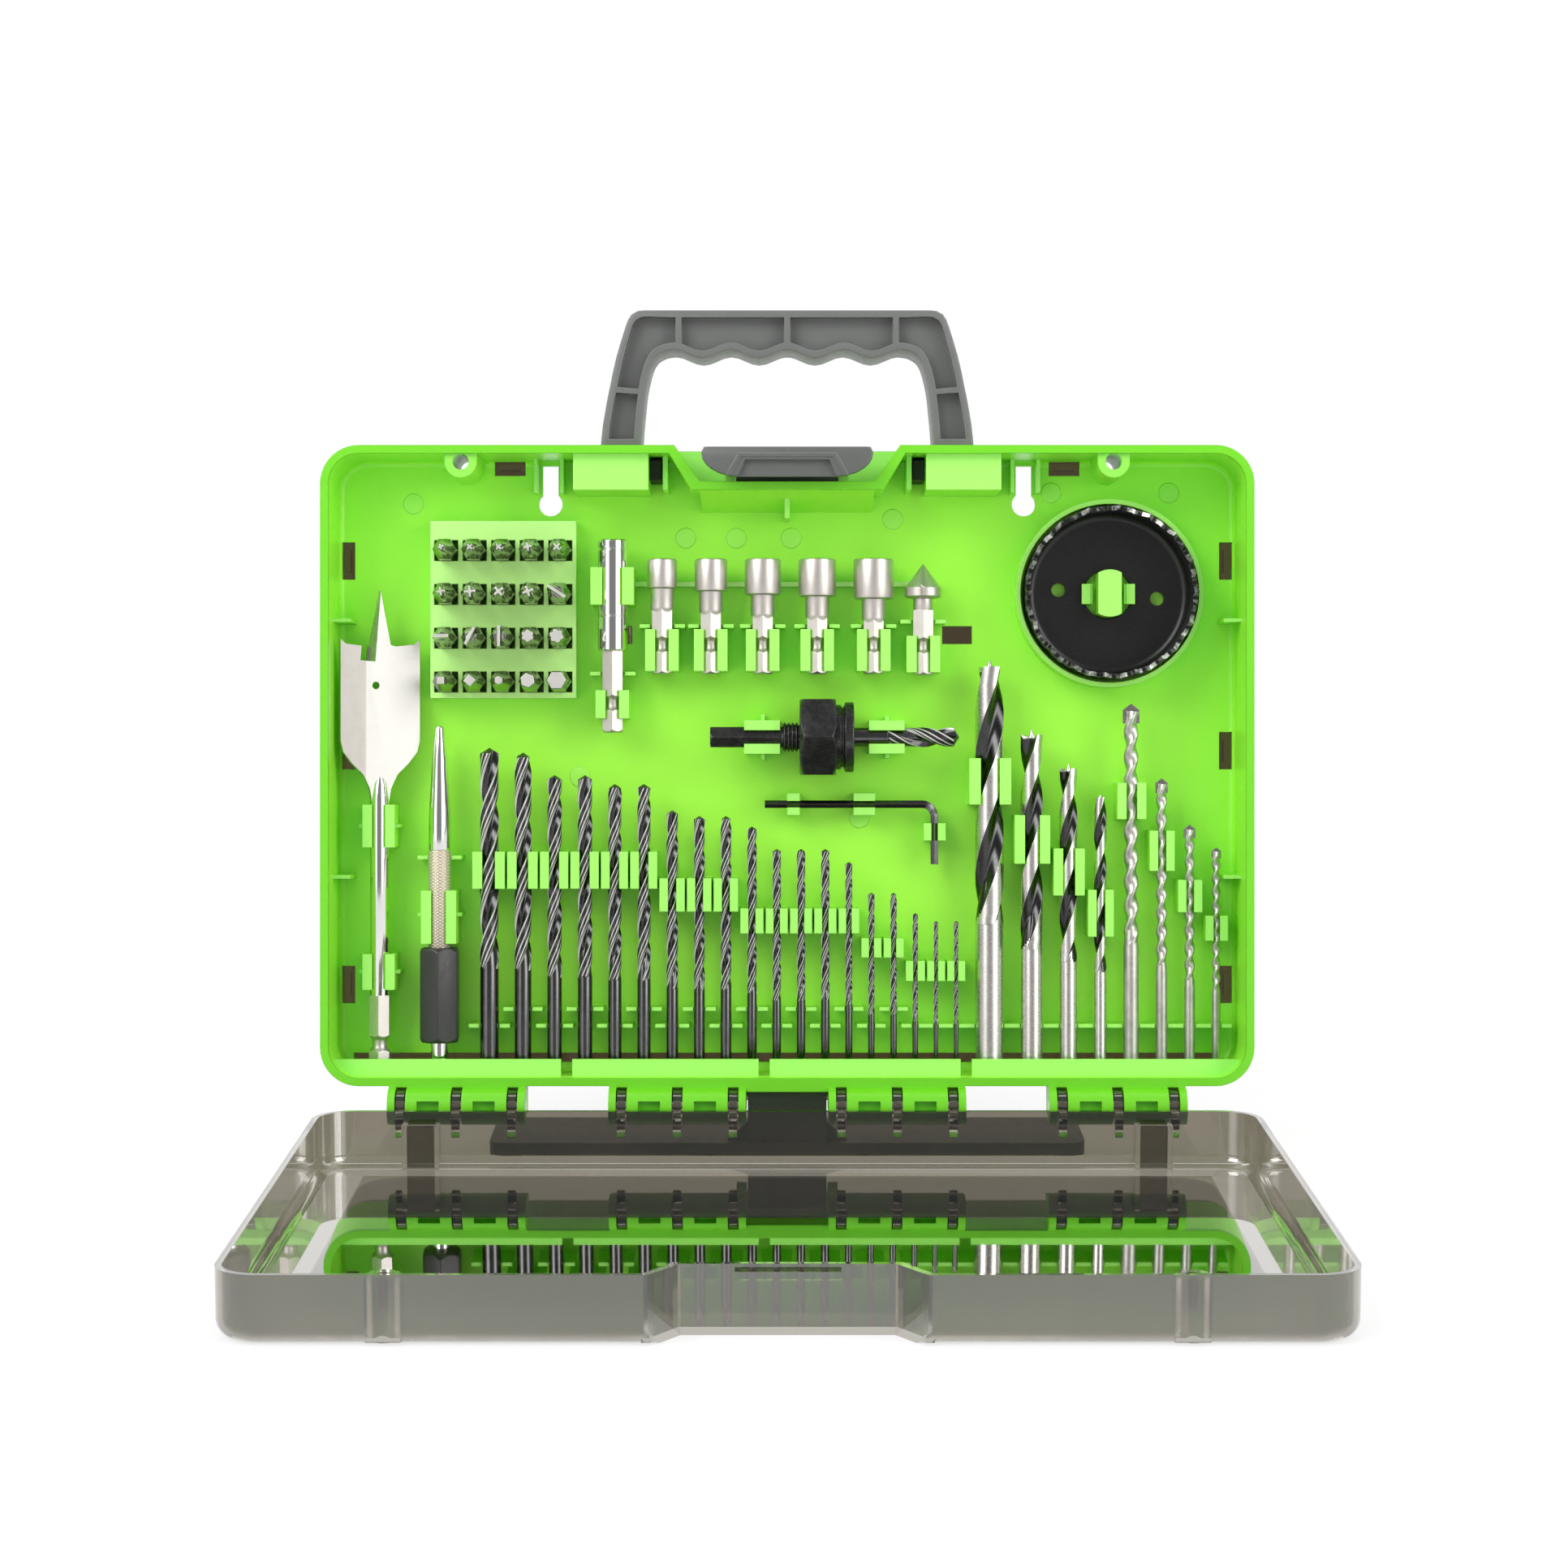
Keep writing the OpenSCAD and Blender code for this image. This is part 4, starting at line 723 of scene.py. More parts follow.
    def climb(self, profile: Sequence[tuple[float, float]]) -> None:
        """Extrudes and resizes the whole section from step to step.

        Args:
            profile: radius and height of each step; the section stands at the first.
        """
        bpy.ops.mesh.select_all(action="SELECT")
        for (radius, height), (next_radius, next_height) in zip(profile, profile[1:]):
            bpy.ops.mesh.extrude_region_move(
                TRANSFORM_OT_translate={"value": (0.0, 0.0, next_height - height)})
            share = next_radius / radius
            bpy.ops.transform.resize(value=(share, share, 1.0), center_override=(0.0, 0.0, next_height))

    def notch_section(self, shares: Sequence[float], sides: int, height: float) -> None:
        """Draws in the corners of a round section by repeating radius shares."""
        for index, share in enumerate(shares):
            if share != 1.0:
                self.pick_numbers(set(range(index, sides, len(shares))))
                bpy.ops.transform.resize(value=(share, share, 1.0), center_override=(0.0, 0.0, height))

    def opened(self) -> "Workpiece":
        """Makes this the active piece and goes to edit mode."""
        self.activate()
        bpy.ops.object.mode_set(mode="EDIT")
        return self

    def closed(self) -> "Workpiece":
        """Turns all faces outwards and goes back to object mode."""
        bpy.ops.mesh.select_all(action="SELECT")
        bpy.ops.mesh.normals_make_consistent(inside=False)
        bpy.ops.object.mode_set(mode="OBJECT")
        return self

    def flats(self, count: int, distance: float, turn: float = 0.0) -> "Workpiece":
        """Cuts flats round the Z axis.

        Args:
            count: how many flats.
            distance: from the axis to each.
            turn: direction of the first one.

        Returns:
            This workpiece.
        """
        self.opened()
        for index in range(count):
            angle = turn + math.tau * index / count
            way = Vector((math.cos(angle), math.sin(angle), 0.0))
            bpy.ops.mesh.select_all(action="SELECT")
            bpy.ops.mesh.bisect(plane_co=way * distance, plane_no=way, use_fill=True, clear_outer=True)
        return self.closed()

    def point(self, top: float, radius: float, slope: float) -> "Workpiece":
        """Closes the top of a wound bar with a point that follows its flutes.

        Args:
            top: height of the open end.
            radius: the bar's radius.
            slope: rise of the point for each millimetre towards the axis.

        Returns:
            This workpiece.
        """
        self.opened().pick(lambda at: at.z > top - TOUCH)
        bpy.ops.mesh.edge_face_add()
        bpy.ops.mesh.poke()
        near, alike = 10 * TOUCH, 20 * TOUCH
        mesh = bmesh.from_edit_mesh(self.piece.data)
        rings = sorted({round(vertex.co.xy.length, 3) for vertex in mesh.verts if vertex.co.z > top - near})
        for ring in rings:
            self.pick(lambda at: at.z > top - near and abs(at.xy.length - ring) < alike)
            bpy.ops.transform.translate(value=(0.0, 0.0, (radius - ring) * slope))
        return self.closed()

    def soften(self, width: float, limit: float = 30.0, segments: int = 2) -> "Workpiece":
        """Bevels the edges that are sharper than a limit."""
        self.activate()
        bevel = self.piece.modifiers.new("soften", "BEVEL")
        bevel.width, bevel.segments, bevel.limit_method = width, segments, "ANGLE"
        bevel.angle_limit = math.radians(limit)
        bpy.ops.object.modifier_apply(modifier="soften")
        return self

    def cut(self, cutter: "Workpiece") -> "Workpiece":
        """Cuts another workpiece's shape out of this one, and uses that one up."""
        self.activate()
        change = self.piece.modifiers.new("cut", "BOOLEAN")
        change.operation, change.object, change.solver = "DIFFERENCE", cutter.piece, "EXACT"
        bpy.ops.object.modifier_apply(modifier="cut")
        bpy.data.objects.remove(cutter.piece)
        return self

    def activate(self) -> None:
        """Makes this the only selected piece and the active one."""
        bpy.ops.object.select_all(action="DESELECT")
        self.piece.select_set(True)
        bpy.context.view_layer.objects.active = self.piece

    def coat(self, finish: Finish, test: Callable[[Vector, Vector], bool] | None = None) -> "Workpiece":
        """Gives the faces a finish.

        Args:
            finish: the finish.
            test: takes a face's middle and normal, and says whether it gets the finish.

        Returns:
            This workpiece.
        """
        slots = self.piece.data.materials
        if material_of(finish).name not in slots:
            slots.append(material_of(finish))
        number = slots.find(material_of(finish).name)
        for face in self.piece.data.polygons:
            if test is None or test(face.center, face.normal):
                face.material_index = number
        return self

    def copy(self) -> "Workpiece":
        """Copies this piece with its own mesh."""
        piece = self.piece.copy()
        piece.data = self.piece.data.copy()
        bpy.context.scene.collection.objects.link(piece)
        twin = Workpiece.__new__(Workpiece)
        twin.piece = piece
        return twin

    def move(self, matrix: Matrix) -> "Workpiece":
        """Moves the mesh by a matrix."""
        self.piece.data.transform(matrix)
        return self

    def join(self, *others: "Workpiece") -> "Workpiece":
        """Joins other workpieces to this one."""
        self.activate()
        for other in others:
            other.piece.select_set(True)
        if others:
            bpy.ops.object.join()
        return self

    def install(self, name: str, matrix: Matrix, nodes: Iterable[str] = (), body: str = BODY,
                crease: float = 32.0) -> bpy.types.Object:
        """Sets the finished piece in its place on the case.

        Args:
            name: the piece's name.
            matrix: from the bench to the shared frame.
            nodes: the CAD nodes that it stands for.
            body: the body that it rides on.
            crease: edges sharper than this stay sharp, in degrees.

        Returns:
            The finished object.
        """
        self.move(matrix)
        self.activate()
        bpy.ops.object.shade_smooth_by_angle(angle=math.radians(crease))
        self.piece.name = self.piece.data.name = name
        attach(self.piece, body)
        names = list(nodes)
        if names:
            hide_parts(*names)
        LOG.info("made %s: %d faces", name, len(self.piece.data.polygons))
        return self.piece


def lying(x: float, y: float, z: float) -> Matrix:
    """Gives the place of a tool that lies across the tray with its foot at the left."""
    return TRAY.matrix((x, y, z)) @ Matrix.Rotation(math.pi / 2, 4, "Y")


def facing(x: float, y: float, z: float, roll: float = 0.0) -> Matrix:
    """Gives the place of a tool that points out of the tray, rolled about its axis."""
    return TRAY.matrix((x, y, z)) @ UPRIGHT @ Matrix.Rotation(roll, 4, "Z")


# ------------------------------------------------------------------------- drills in the row


class DrillKind(Enum):
    """The three kinds of drill in the row."""

    TWIST = "twist"
    BRAD = "brad"
    MASONRY = "masonry"


@dataclass(frozen=True)
class Drill:
    """One drill: its kind, diameter, length, and how many the row has of it."""

    kind: DrillKind
    diameter: float
    length: float
    count: int = 1
    fluted: float = 0.68
    lead: float = 7.0
    phase: float = 0.25 * math.pi

    # Faces of half of a twist drill's section that are painted bright as highlight lines down the lands,
    # counted from its margin
    HIGHLIGHT_FACES = (0, 4, 7, 9)
    SHANK_SHARE = 0.49

    def shares(self) -> tuple[float, ...]:
        """Gives the radius shares of half of its section."""
        if self.kind is DrillKind.TWIST:
            return (1.0, 1.0, 0.955, 0.95, 0.965, 0.95, 0.95, 0.965, 0.95, 0.98,
                    0.8, 0.62, 0.48, 0.4, 0.36, 0.38, 0.5, 0.74)
        if self.kind is DrillKind.BRAD:
            return (1.0,) * 7 + (0.85, 0.66, 0.53, 0.46, 0.44, 0.47, 0.58, 0.8)
        return (1.0, 1.0, 0.99, 0.93, 0.84, 0.76, 0.7, 0.66, 0.64, 0.66, 0.7, 0.76, 0.84, 0.93)

    def make(self) -> Workpiece:
        """Models the drill on its foot, with its finishes."""
        return {DrillKind.TWIST: self.make_twist, DrillKind.BRAD: self.make_brad,
                DrillKind.MASONRY: self.make_masonry}[self.kind]()

    def foot_profile(self, top: float) -> list[tuple[float, float]]:
        """Gives the radius and height of each step of the plain shank."""
        r = self.SHANK_SHARE * self.diameter
        return [(0.86 * r, 0.0), (r, 0.35), (r, top)]

    def winding(self, slope: float, tip: float, pace: int = 18,
                share: float = 1.0) -> tuple[Workpiece, float, float]:
        """Winds the fluted part and closes its top with a point.

        Args:
            slope: rise of the point for each millimetre towards the axis.
            tip: height of the point, in diameters.
            pace: steps of one turn.
            share: the fluted part's diameter, as a share of the drill's.

        Returns:
            The fluted part, and where it starts and ends.
        """
        d = self.diameter
        top, low = self.length - tip * d, self.length * (1.0 - self.fluted)
        bar = Workpiece.spiral(share * d, low, top, self.lead * d, self.shares(), self.phase, pace)
        return bar.point(top, share * d / 2, slope), low, top

    def turned_from(self, at: Vector, low: float, start: float) -> float:
        """Tells how far round half of the wound section a spot lies.

        Args:
            at: the spot.
            low: height of the section that `start` belongs to.
            start: turn of the section there.

        Returns:
            The share of the half turn, from 0 to 1.
        """
        turn = math.atan2(at.y, at.x) - start - math.tau * (at.z - low) / (self.lead * self.diameter)
        return turn % math.pi / math.pi

    def shank(self, top: float, run_out: float) -> Workpiece:
        """Turns the plain shank, whose pointed end closes the flutes bit by bit."""
        r = self.SHANK_SHARE * self.diameter
        foot, edge, end = self.foot_profile(top)
        return Workpiece.turned([foot, edge, (r, 0.5 * top), end, (0.8 * r, top + 0.35 * run_out),
                                 (0.3 * r, top + run_out)])

    def make_twist(self) -> Workpiece:
        """Models a blackened twist drill."""
        d = self.diameter
        bar, low, top = self.winding(slope=0.6, tip=0.3)
        bar.coat(Finish.BLACKED)
        bar.coat(Finish.FLUTE, lambda at, way: at.xy.length < 0.455 * d and at.z < top - 0.05 * d)
        start, corners = bar.section_turn(low, self.shares()), len(self.shares())
        # Painted highlight lines down the lands, on the listed faces.
        bar.coat(Finish.LAND_HIGHLIGHT, lambda at, way: at.z < top - 0.02 * d and int(
            corners * self.turned_from(at, low, start)) in self.HIGHLIGHT_FACES)
        return bar.join(self.shank(low, 2.2 * d).coat(Finish.OXIDE))

    def make_brad(self) -> Workpiece:
        """Models a brad-point drill: bright lands, dark flutes, two spurs and a spike."""
        d = self.diameter
        bar, low, top = self.winding(slope=0.12, tip=0.45)
        bar.opened().pick(lambda at: at.z > top - 10 * TOUCH and at.xy.length > 0.495 * d)
        bpy.ops.transform.translate(value=(0.0, 0.0, 0.2 * d))
        bar.closed().coat(Finish.BRIGHT)
        bar.coat(Finish.FLUTE, lambda at, way: at.xy.length < 0.478 * d and at.z < top)
        start, corners = bar.section_turn(low, self.shares()), len(self.shares())
        spike = Workpiece.turned([(0.15 * d, top - 0.4 * d), (0.15 * d, top + 0.12 * d),
                                  (0.1 * d, top + 0.24 * d), (0.012 * d, self.length)], sides=12)
        r, run_out, steps = self.SHANK_SHARE * d, 1.7 * d, 14
        cone = [(r * (1.0 - 0.6 * (step / steps) ** 1.4), low + run_out * step / steps)
                for step in range(1, steps + 1)]
        shank = Workpiece.turned(self.foot_profile(low) + cone, sides=56)
        middle = self.shares().index(min(self.shares())) / corners
        shank.coat(Finish.BRIGHT).coat(Finish.FLUTE, lambda at, way: at.z > low and abs(
            self.turned_from(at, low, start) - middle) < 0.3 * min(1.0, (at.z - low) / (0.8 * d)) ** 0.5)
        return bar.join(shank, spike.coat(Finish.BRIGHT))

    def make_masonry(self) -> Workpiece:
        """Models a masonry drill: a satin bar with shallow flutes and a hard plate in its tip."""
        d = self.diameter
        bar, low, top = self.winding(slope=0.35, tip=0.5, pace=20, share=0.94)
        shank = self.shank(low, 2.5 * d)
        w, t = 0.53 * d, 0.17 * d
        tip = Workpiece.plate([(w, t), (-w, t), (-w, -t), (w, -t)], top - 0.75 * d, top + 0.12 * d)
        tip.opened().pick(lambda at: at.z > top, faces=True)
        bpy.ops.mesh.extrude_region_move(TRANSFORM_OT_translate={"value": (0.0, 0.0, 0.38 * d)})
        bpy.ops.transform.resize(value=(0.06, 0.8, 1.0), center_override=(0.0, 0.0, self.length))
        tip.closed()
        return bar.coat(Finish.BLASTED).join(shank.coat(Finish.BLASTED), tip.coat(Finish.CARBIDE))


@dataclass
class DrillRow:
    """The row of drills along the tray's foot, largest first."""

    start: float = 51.1
    case_width: float = 290.0
    twist_gap: float = 4.9
    bit_gap: float = 5.3
    depth: float = 17.0
    foot: float = 2.8
    last_foot: float = 3.51
    spin: float = 0.9
    drills: tuple[Drill, ...] = (
        *(Drill(DrillKind.TWIST, d, length, count) for d, length, count in (
            (6.0, 102.4, 1), (5.4, 100.9, 1), (4.7, 93.8, 2), (4.3, 91.0, 2), (3.75, 82.7, 1),
            (3.5, 80.9, 2), (3.1, 77.6, 1), (2.75, 70.5, 3), (2.3, 66.4, 1), (2.1, 56.7, 2),
            (1.8, 50.3, 1), (1.45, 47.8, 2))),
        *(Drill(DrillKind.BRAD, d, length, fluted=0.64, lead=8.2, phase=half_turns * math.pi)
          for d, length, half_turns in (
            (9.0, 130.2, -0.16), (7.0, 108.3, 0.15), (5.6, 97.3, 0.08), (3.9, 87.8, -0.2))),
        *(Drill(DrillKind.MASONRY, d, length, fluted=0.66, lead=3.2) for d, length in (
            (4.9, 116.2), (3.7, 92.7), (3.4, 78.1), (2.8, 70.2))),
    )

    def build(self) -> None:
        """Models each size once, copies it along the row and sets it in its clips."""
        x, before = self.start - self.case_width / 2, None
        numbers = {kind: 0 for kind in DrillKind}
        total = sum(drill.count for drill in self.drills)
        placed = 0
        for drill in self.drills:
            numbers[drill.kind] += 1
            pattern = drill.make()
            copies = []
            for _ in range(drill.count):
                if before is not None:
                    gap = self.twist_gap if drill.kind is DrillKind.TWIST else self.bit_gap
                    x += (before + drill.diameter) / 2 + gap
                before = drill.diameter
                placed += 1
                foot = self.last_foot if placed == total else self.foot
                turn = self.spin * placed if drill.kind is DrillKind.TWIST else 0.0
                spin = Matrix.Rotation(turn, 4, "Z")
                copies.append(pattern.copy().move(Matrix.Translation((x, self.depth, foot)) @ spin))
            bpy.data.objects.remove(pattern.piece)
            name = f"{drill.kind.value}_drill_{numbers[drill.kind]}"
            copies[0].join(*copies[1:]).install(f"row_{name}", TRAY.matrix(), [name])


# --------------------------------------------------------------------------- driver shanks


@dataclass(frozen=True)
class DriveShank:
    """Quarter-inch shank with its locking groove."""

    across: float = 6.35
    groove_low: float = 7.1
    groove_high: float = 11.4
    groove_radius: float = 2.35

    def make(self, length: float) -> Workpiece:
        """Turns the bar and cuts its six flats.

        Args:
            length: how far it runs up.

        Returns:
            The shank, standing on its foot.
        """
        r = self.across / math.sqrt(3.0)
        low, high, waist = self.groove_low, self.groove_high, self.groove_radius
        bar = Workpiece.turned([
            (0.78 * r, 0.0), (r, 0.9), (r, low - 0.5), (0.86 * r, low), (0.7 * r, low + 0.7),
            (waist, low + 1.2), (waist, high - 1.2), (0.7 * r, high - 0.7), (0.86 * r, high),
            (r, high + 0.5), (r, length)], sides=36)
        return bar.flats(6, self.across / 2)


@dataclass
class SocketRow:
    """The upper row: bit holder, five nut setters and a countersink."""

    bottom: float = 128.4
    depth: float = 17.0
    heads: tuple[float, ...] = (9.4, 10.3, 11.4, 11.9, 12.7)
    length: float = 36.3
    start: float = -39.4
    gap: float = 5.5
    sink_diameter: float = 11.7
    sink_length: float = 35.0
    sink_gap: float = 3.4
    sink_drop: float = 0.3
    holder_x: float = -55.0
    holder_z: float = 110.0
    holder_length: float = 60.8
    sleeve_length: float = 35.0
    sleeve_radius: float = 4.7
    shank: DriveShank = field(default_factory=DriveShank)

    def setter(self, head: float) -> Workpiece:
        """Models one nut setter.

        Args:
            head: diameter of its head.

        Returns:
            The setter on its foot, with its hexagonal socket.
        """
        top, r = self.length - head, head / 2
        neck = top - 6.8
        body = Workpiece.turned([(3.1, neck - 0.6), (3.75, neck + 0.5), (3.8, neck + 0.9), (3.8, top - 0.3),
                                 (3.9, top), (r - 0.7, top), (r - 0.12, top + 0.35),
                                 (r, top + 0.8), (r, self.length - 0.7), (r - 0.2, self.length - 0.2),
                                 (r - 0.6, self.length)], sides=48)
        hollow = Workpiece.turned([((head - 3.0) / math.sqrt(3.0), self.length - 8.0),
                                   ((head - 3.0) / math.sqrt(3.0), self.length - 0.4),
                                   ((head - 2.0) / math.sqrt(3.0), self.length + 0.6)],
                                  sides=6, turn=math.pi / 2)
        body.cut(hollow)
        return body.join(self.shank.make(neck + 0.4)).coat(Finish.SATIN)

    def countersink(self) -> Workpiece:
        """Models the countersink with three cutting faces."""
        r, neck = self.sink_diameter / 2, self.sink_length - 10.6
        head = Workpiece.turned([
            (2.6, neck - 4.5), (3.1, neck - 3.6), (3.1, neck - 0.4), (r - 0.8, neck - 0.1),
            (r, neck + 0.5), (r, neck + 3.0), (0.15, self.sink_length)], sides=48)
        tilt = Matrix.Rotation(math.radians(10.0), 4, "Y")
        for angle in (20.0, 140.0, 260.0):
            slot = Workpiece.plate([(0.25, 0.0), (9.0, 0.0), (9.0, 3.4), (1.4, 2.2)], neck + 1.4, neck + 14.0)
            head.cut(slot.move(Matrix.Rotation(math.radians(angle), 4, "Z") @ tilt))
        head.coat(Finish.SATIN)
        return head.join(self.shank.make(neck - 3.9).coat(Finish.SATIN))

    def holder(self) -> None:
        """Builds the magnetic bit holder: a polished sleeve on a shank."""
        low, high, r = self.holder_length - self.sleeve_length, self.holder_length, self.sleeve_radius
        sleeve = Workpiece.turned([
            (3.75, low + 3.0), (3.75, low), (r - 0.35, low), (r, low + 0.4), (r, low + 10.6),
            (r - 0.22, low + 10.7), (r - 0.22, low + 11.1), (r, low + 11.2), (r, high - 3.4),
            (r - 0.25, high - 3.3), (r - 0.25, high - 2.8), (r, high - 2.7), (r, high - 0.4),
            (r - 0.35, high), (3.75, high), (3.75, high - 8.0)], sides=64)
        sleeve.coat(Finish.CHROME)
        place = TRAY.matrix((self.holder_x, self.depth, self.holder_z))
        sleeve.install("bit_holder_sleeve", place, ["holder_sleeve"])
        shank = self.shank.make(self.holder_length - 14.0).coat(Finish.SATIN)
        shank.install("bit_holder_shank", place, ["holder_shank"])

    def build(self) -> None:
        """Builds the whole upper row."""
        self.holder()
        x = self.start
        for number, head in enumerate(self.heads):
            if number:
                x += (self.heads[number - 1] + head) / 2 + self.gap
            place = TRAY.matrix((x, self.depth, self.bottom))
            self.setter(head).install(f"nut_socket_{number + 1}", place, [f"nut_setter_{number + 1}"])
        x += (self.heads[-1] + self.sink_diameter) / 2 + self.sink_gap
        place = TRAY.matrix((x, self.depth, self.bottom - self.sink_drop))
        self.countersink().install("countersink_bit", place, ["countersink"])


# ------------------------------------------------------------------------------ insert bits


class Tip(Enum):
    """Tip shapes of the insert bits."""

    CROSS = "cross"
    SLOTTED = "slotted"
    STAR = "star"
    SQUARE = "square"
    HEX = "hex"


@dataclass
class BitBlock:
    """The twenty insert bits in their block, row by row from the top."""

    middle_x: float = -89.8
    top: float = 177.0
    pitch: tuple[float, float] = (9.02, 13.85)
    first_row: float = 9.4
    seat_y: float = 27.2
    length: float = 25.0
    across: float = 6.35
    rows: tuple[tuple[tuple[Tip, float, float], ...], ...] = (
        ((Tip.CROSS, 0.46, 20.0), (Tip.CROSS, 0.5, 45.0), (Tip.CROSS, 0.5, 45.0), (Tip.CROSS, 0.62, 12.0),
         (Tip.CROSS, 0.6, 45.0)),
        ((Tip.CROSS, 0.62, 10.0), (Tip.CROSS, 0.78, 5.0), (Tip.CROSS, 0.76, 40.0), (Tip.CROSS, 0.76, 20.0),
         (Tip.SLOTTED, 1.0, -33.0)),
        ((Tip.SLOTTED, 0.75, 2.0), (Tip.SLOTTED, 0.95, 62.0), (Tip.SLOTTED, 1.0, 90.0), (Tip.STAR, 0.68, 0.0),
         (Tip.STAR, 0.78, 15.0)),
        ((Tip.SQUARE, 0.5, 45.0), (Tip.SQUARE, 0.6, 5.0), (Tip.HEX, 0.42, 0.0), (Tip.HEX, 0.72, 10.0),
         (Tip.HEX, 0.92, 30.0)),
    )

    def tip(self, kind: Tip, share: float, roll: float) -> Workpiece:
        """Models the working end of a bit.

        Args:
            kind: its shape.
            share: its radius as a share of half the shank's width.
            roll: its turn in degrees.

        Returns:
            The tip, at the far end of the bit's length.
        """
        r, low, high = share * self.across / 2, 0.66 * self.length, self.length
        turn = math.radians(roll)
        if kind is Tip.CROSS:
            shares = (1.0, 0.98, 0.56, 0.44, 0.4, 0.44, 0.56, 0.98)
            return Workpiece.turned([(1.45 * r, low), (1.1 * r, high - 1.6), (0.72 * r, high - 0.15),
                                     (0.62 * r, high)], 32, shares, turn)
        if kind is Tip.STAR:
            shares = (1.0, 0.9, 0.74, 0.9)
            return Workpiece.turned([(r, low), (r, high - 0.5), (0.9 * r, high)], 24, shares, turn)
        if kind in (Tip.SQUARE, Tip.HEX):
            sides = 4 if kind is Tip.SQUARE else 6
            profile = [(1.1 * r, low), (1.1 * r, high - 0.35), (0.98 * r, high)]
            return Workpiece.turned(profile, sides, (), turn)
        blade = Workpiece.plate([(r, 1.5), (-r, 1.5), (-r, -1.5), (r, -1.5)], low - 1.0, low + 1.2)
        blade.opened().pick(lambda at: at.z > low + 1.0, faces=True)
        bpy.ops.mesh.extrude_region_move(TRANSFORM_OT_translate={"value": (0.0, 0.0, high - low - 1.2)})
        bpy.ops.transform.resize(value=(1.0, 0.3, 1.0), center_override=(0.0, 0.0, high))
        return blade.closed().move(Matrix.Rotation(turn, 4, "Z"))

    def bit(self, kind: Tip, share: float, roll: float) -> Workpiece:
        """Models one insert bit: six-sided shank, tapered neck and tip."""
        r, half = self.across / math.sqrt(3.0), self.across / 2
        neck = max(0.62 * share * half + 0.35, 1.5)
        length = self.length
        body = Workpiece.turned([
            (r - 0.5, 0.0), (r, 0.5), (r, 0.56 * length), (r - 0.45, 0.59 * length),
            (0.5 * (half + neck), 0.66 * length), (neck, 0.76 * length),
            (0.8 * neck, 0.84 * length)], sides=36)
        body.flats(6, half, turn=math.pi / 6)
        tip = self.tip(kind, share, roll)
        body.coat(Finish.TOOLED)
        tip.coat(Finish.TOOLED)
        tip.coat(Finish.GROUND, lambda at, way: way.z > 0.7)
        return body.join(tip)

    def build(self) -> None:
        """Builds the bits, one piece for each kind."""
        groups: dict[Tip, list[Workpiece]] = {kind: [] for kind in Tip}
        for row, bits in enumerate(self.rows):
            for column, (kind, share, roll) in enumerate(bits):
                x = self.middle_x + (column - 2) * self.pitch[0]
                z = self.top - self.first_row - row * self.pitch[1]
                place = Matrix.Translation((x, self.seat_y, z)) @ UPRIGHT
                groups[kind].append(self.bit(kind, share, roll).move(place))
        for kind, bits in groups.items():
            joined = bits[0].join(*bits[1:])
            joined.install(f"bits_{kind.value}", TRAY.matrix(), [f"insert_bits_{kind.value}"], crease=25.0)


# ---------------------------------------------------------------------- flat bit and punch


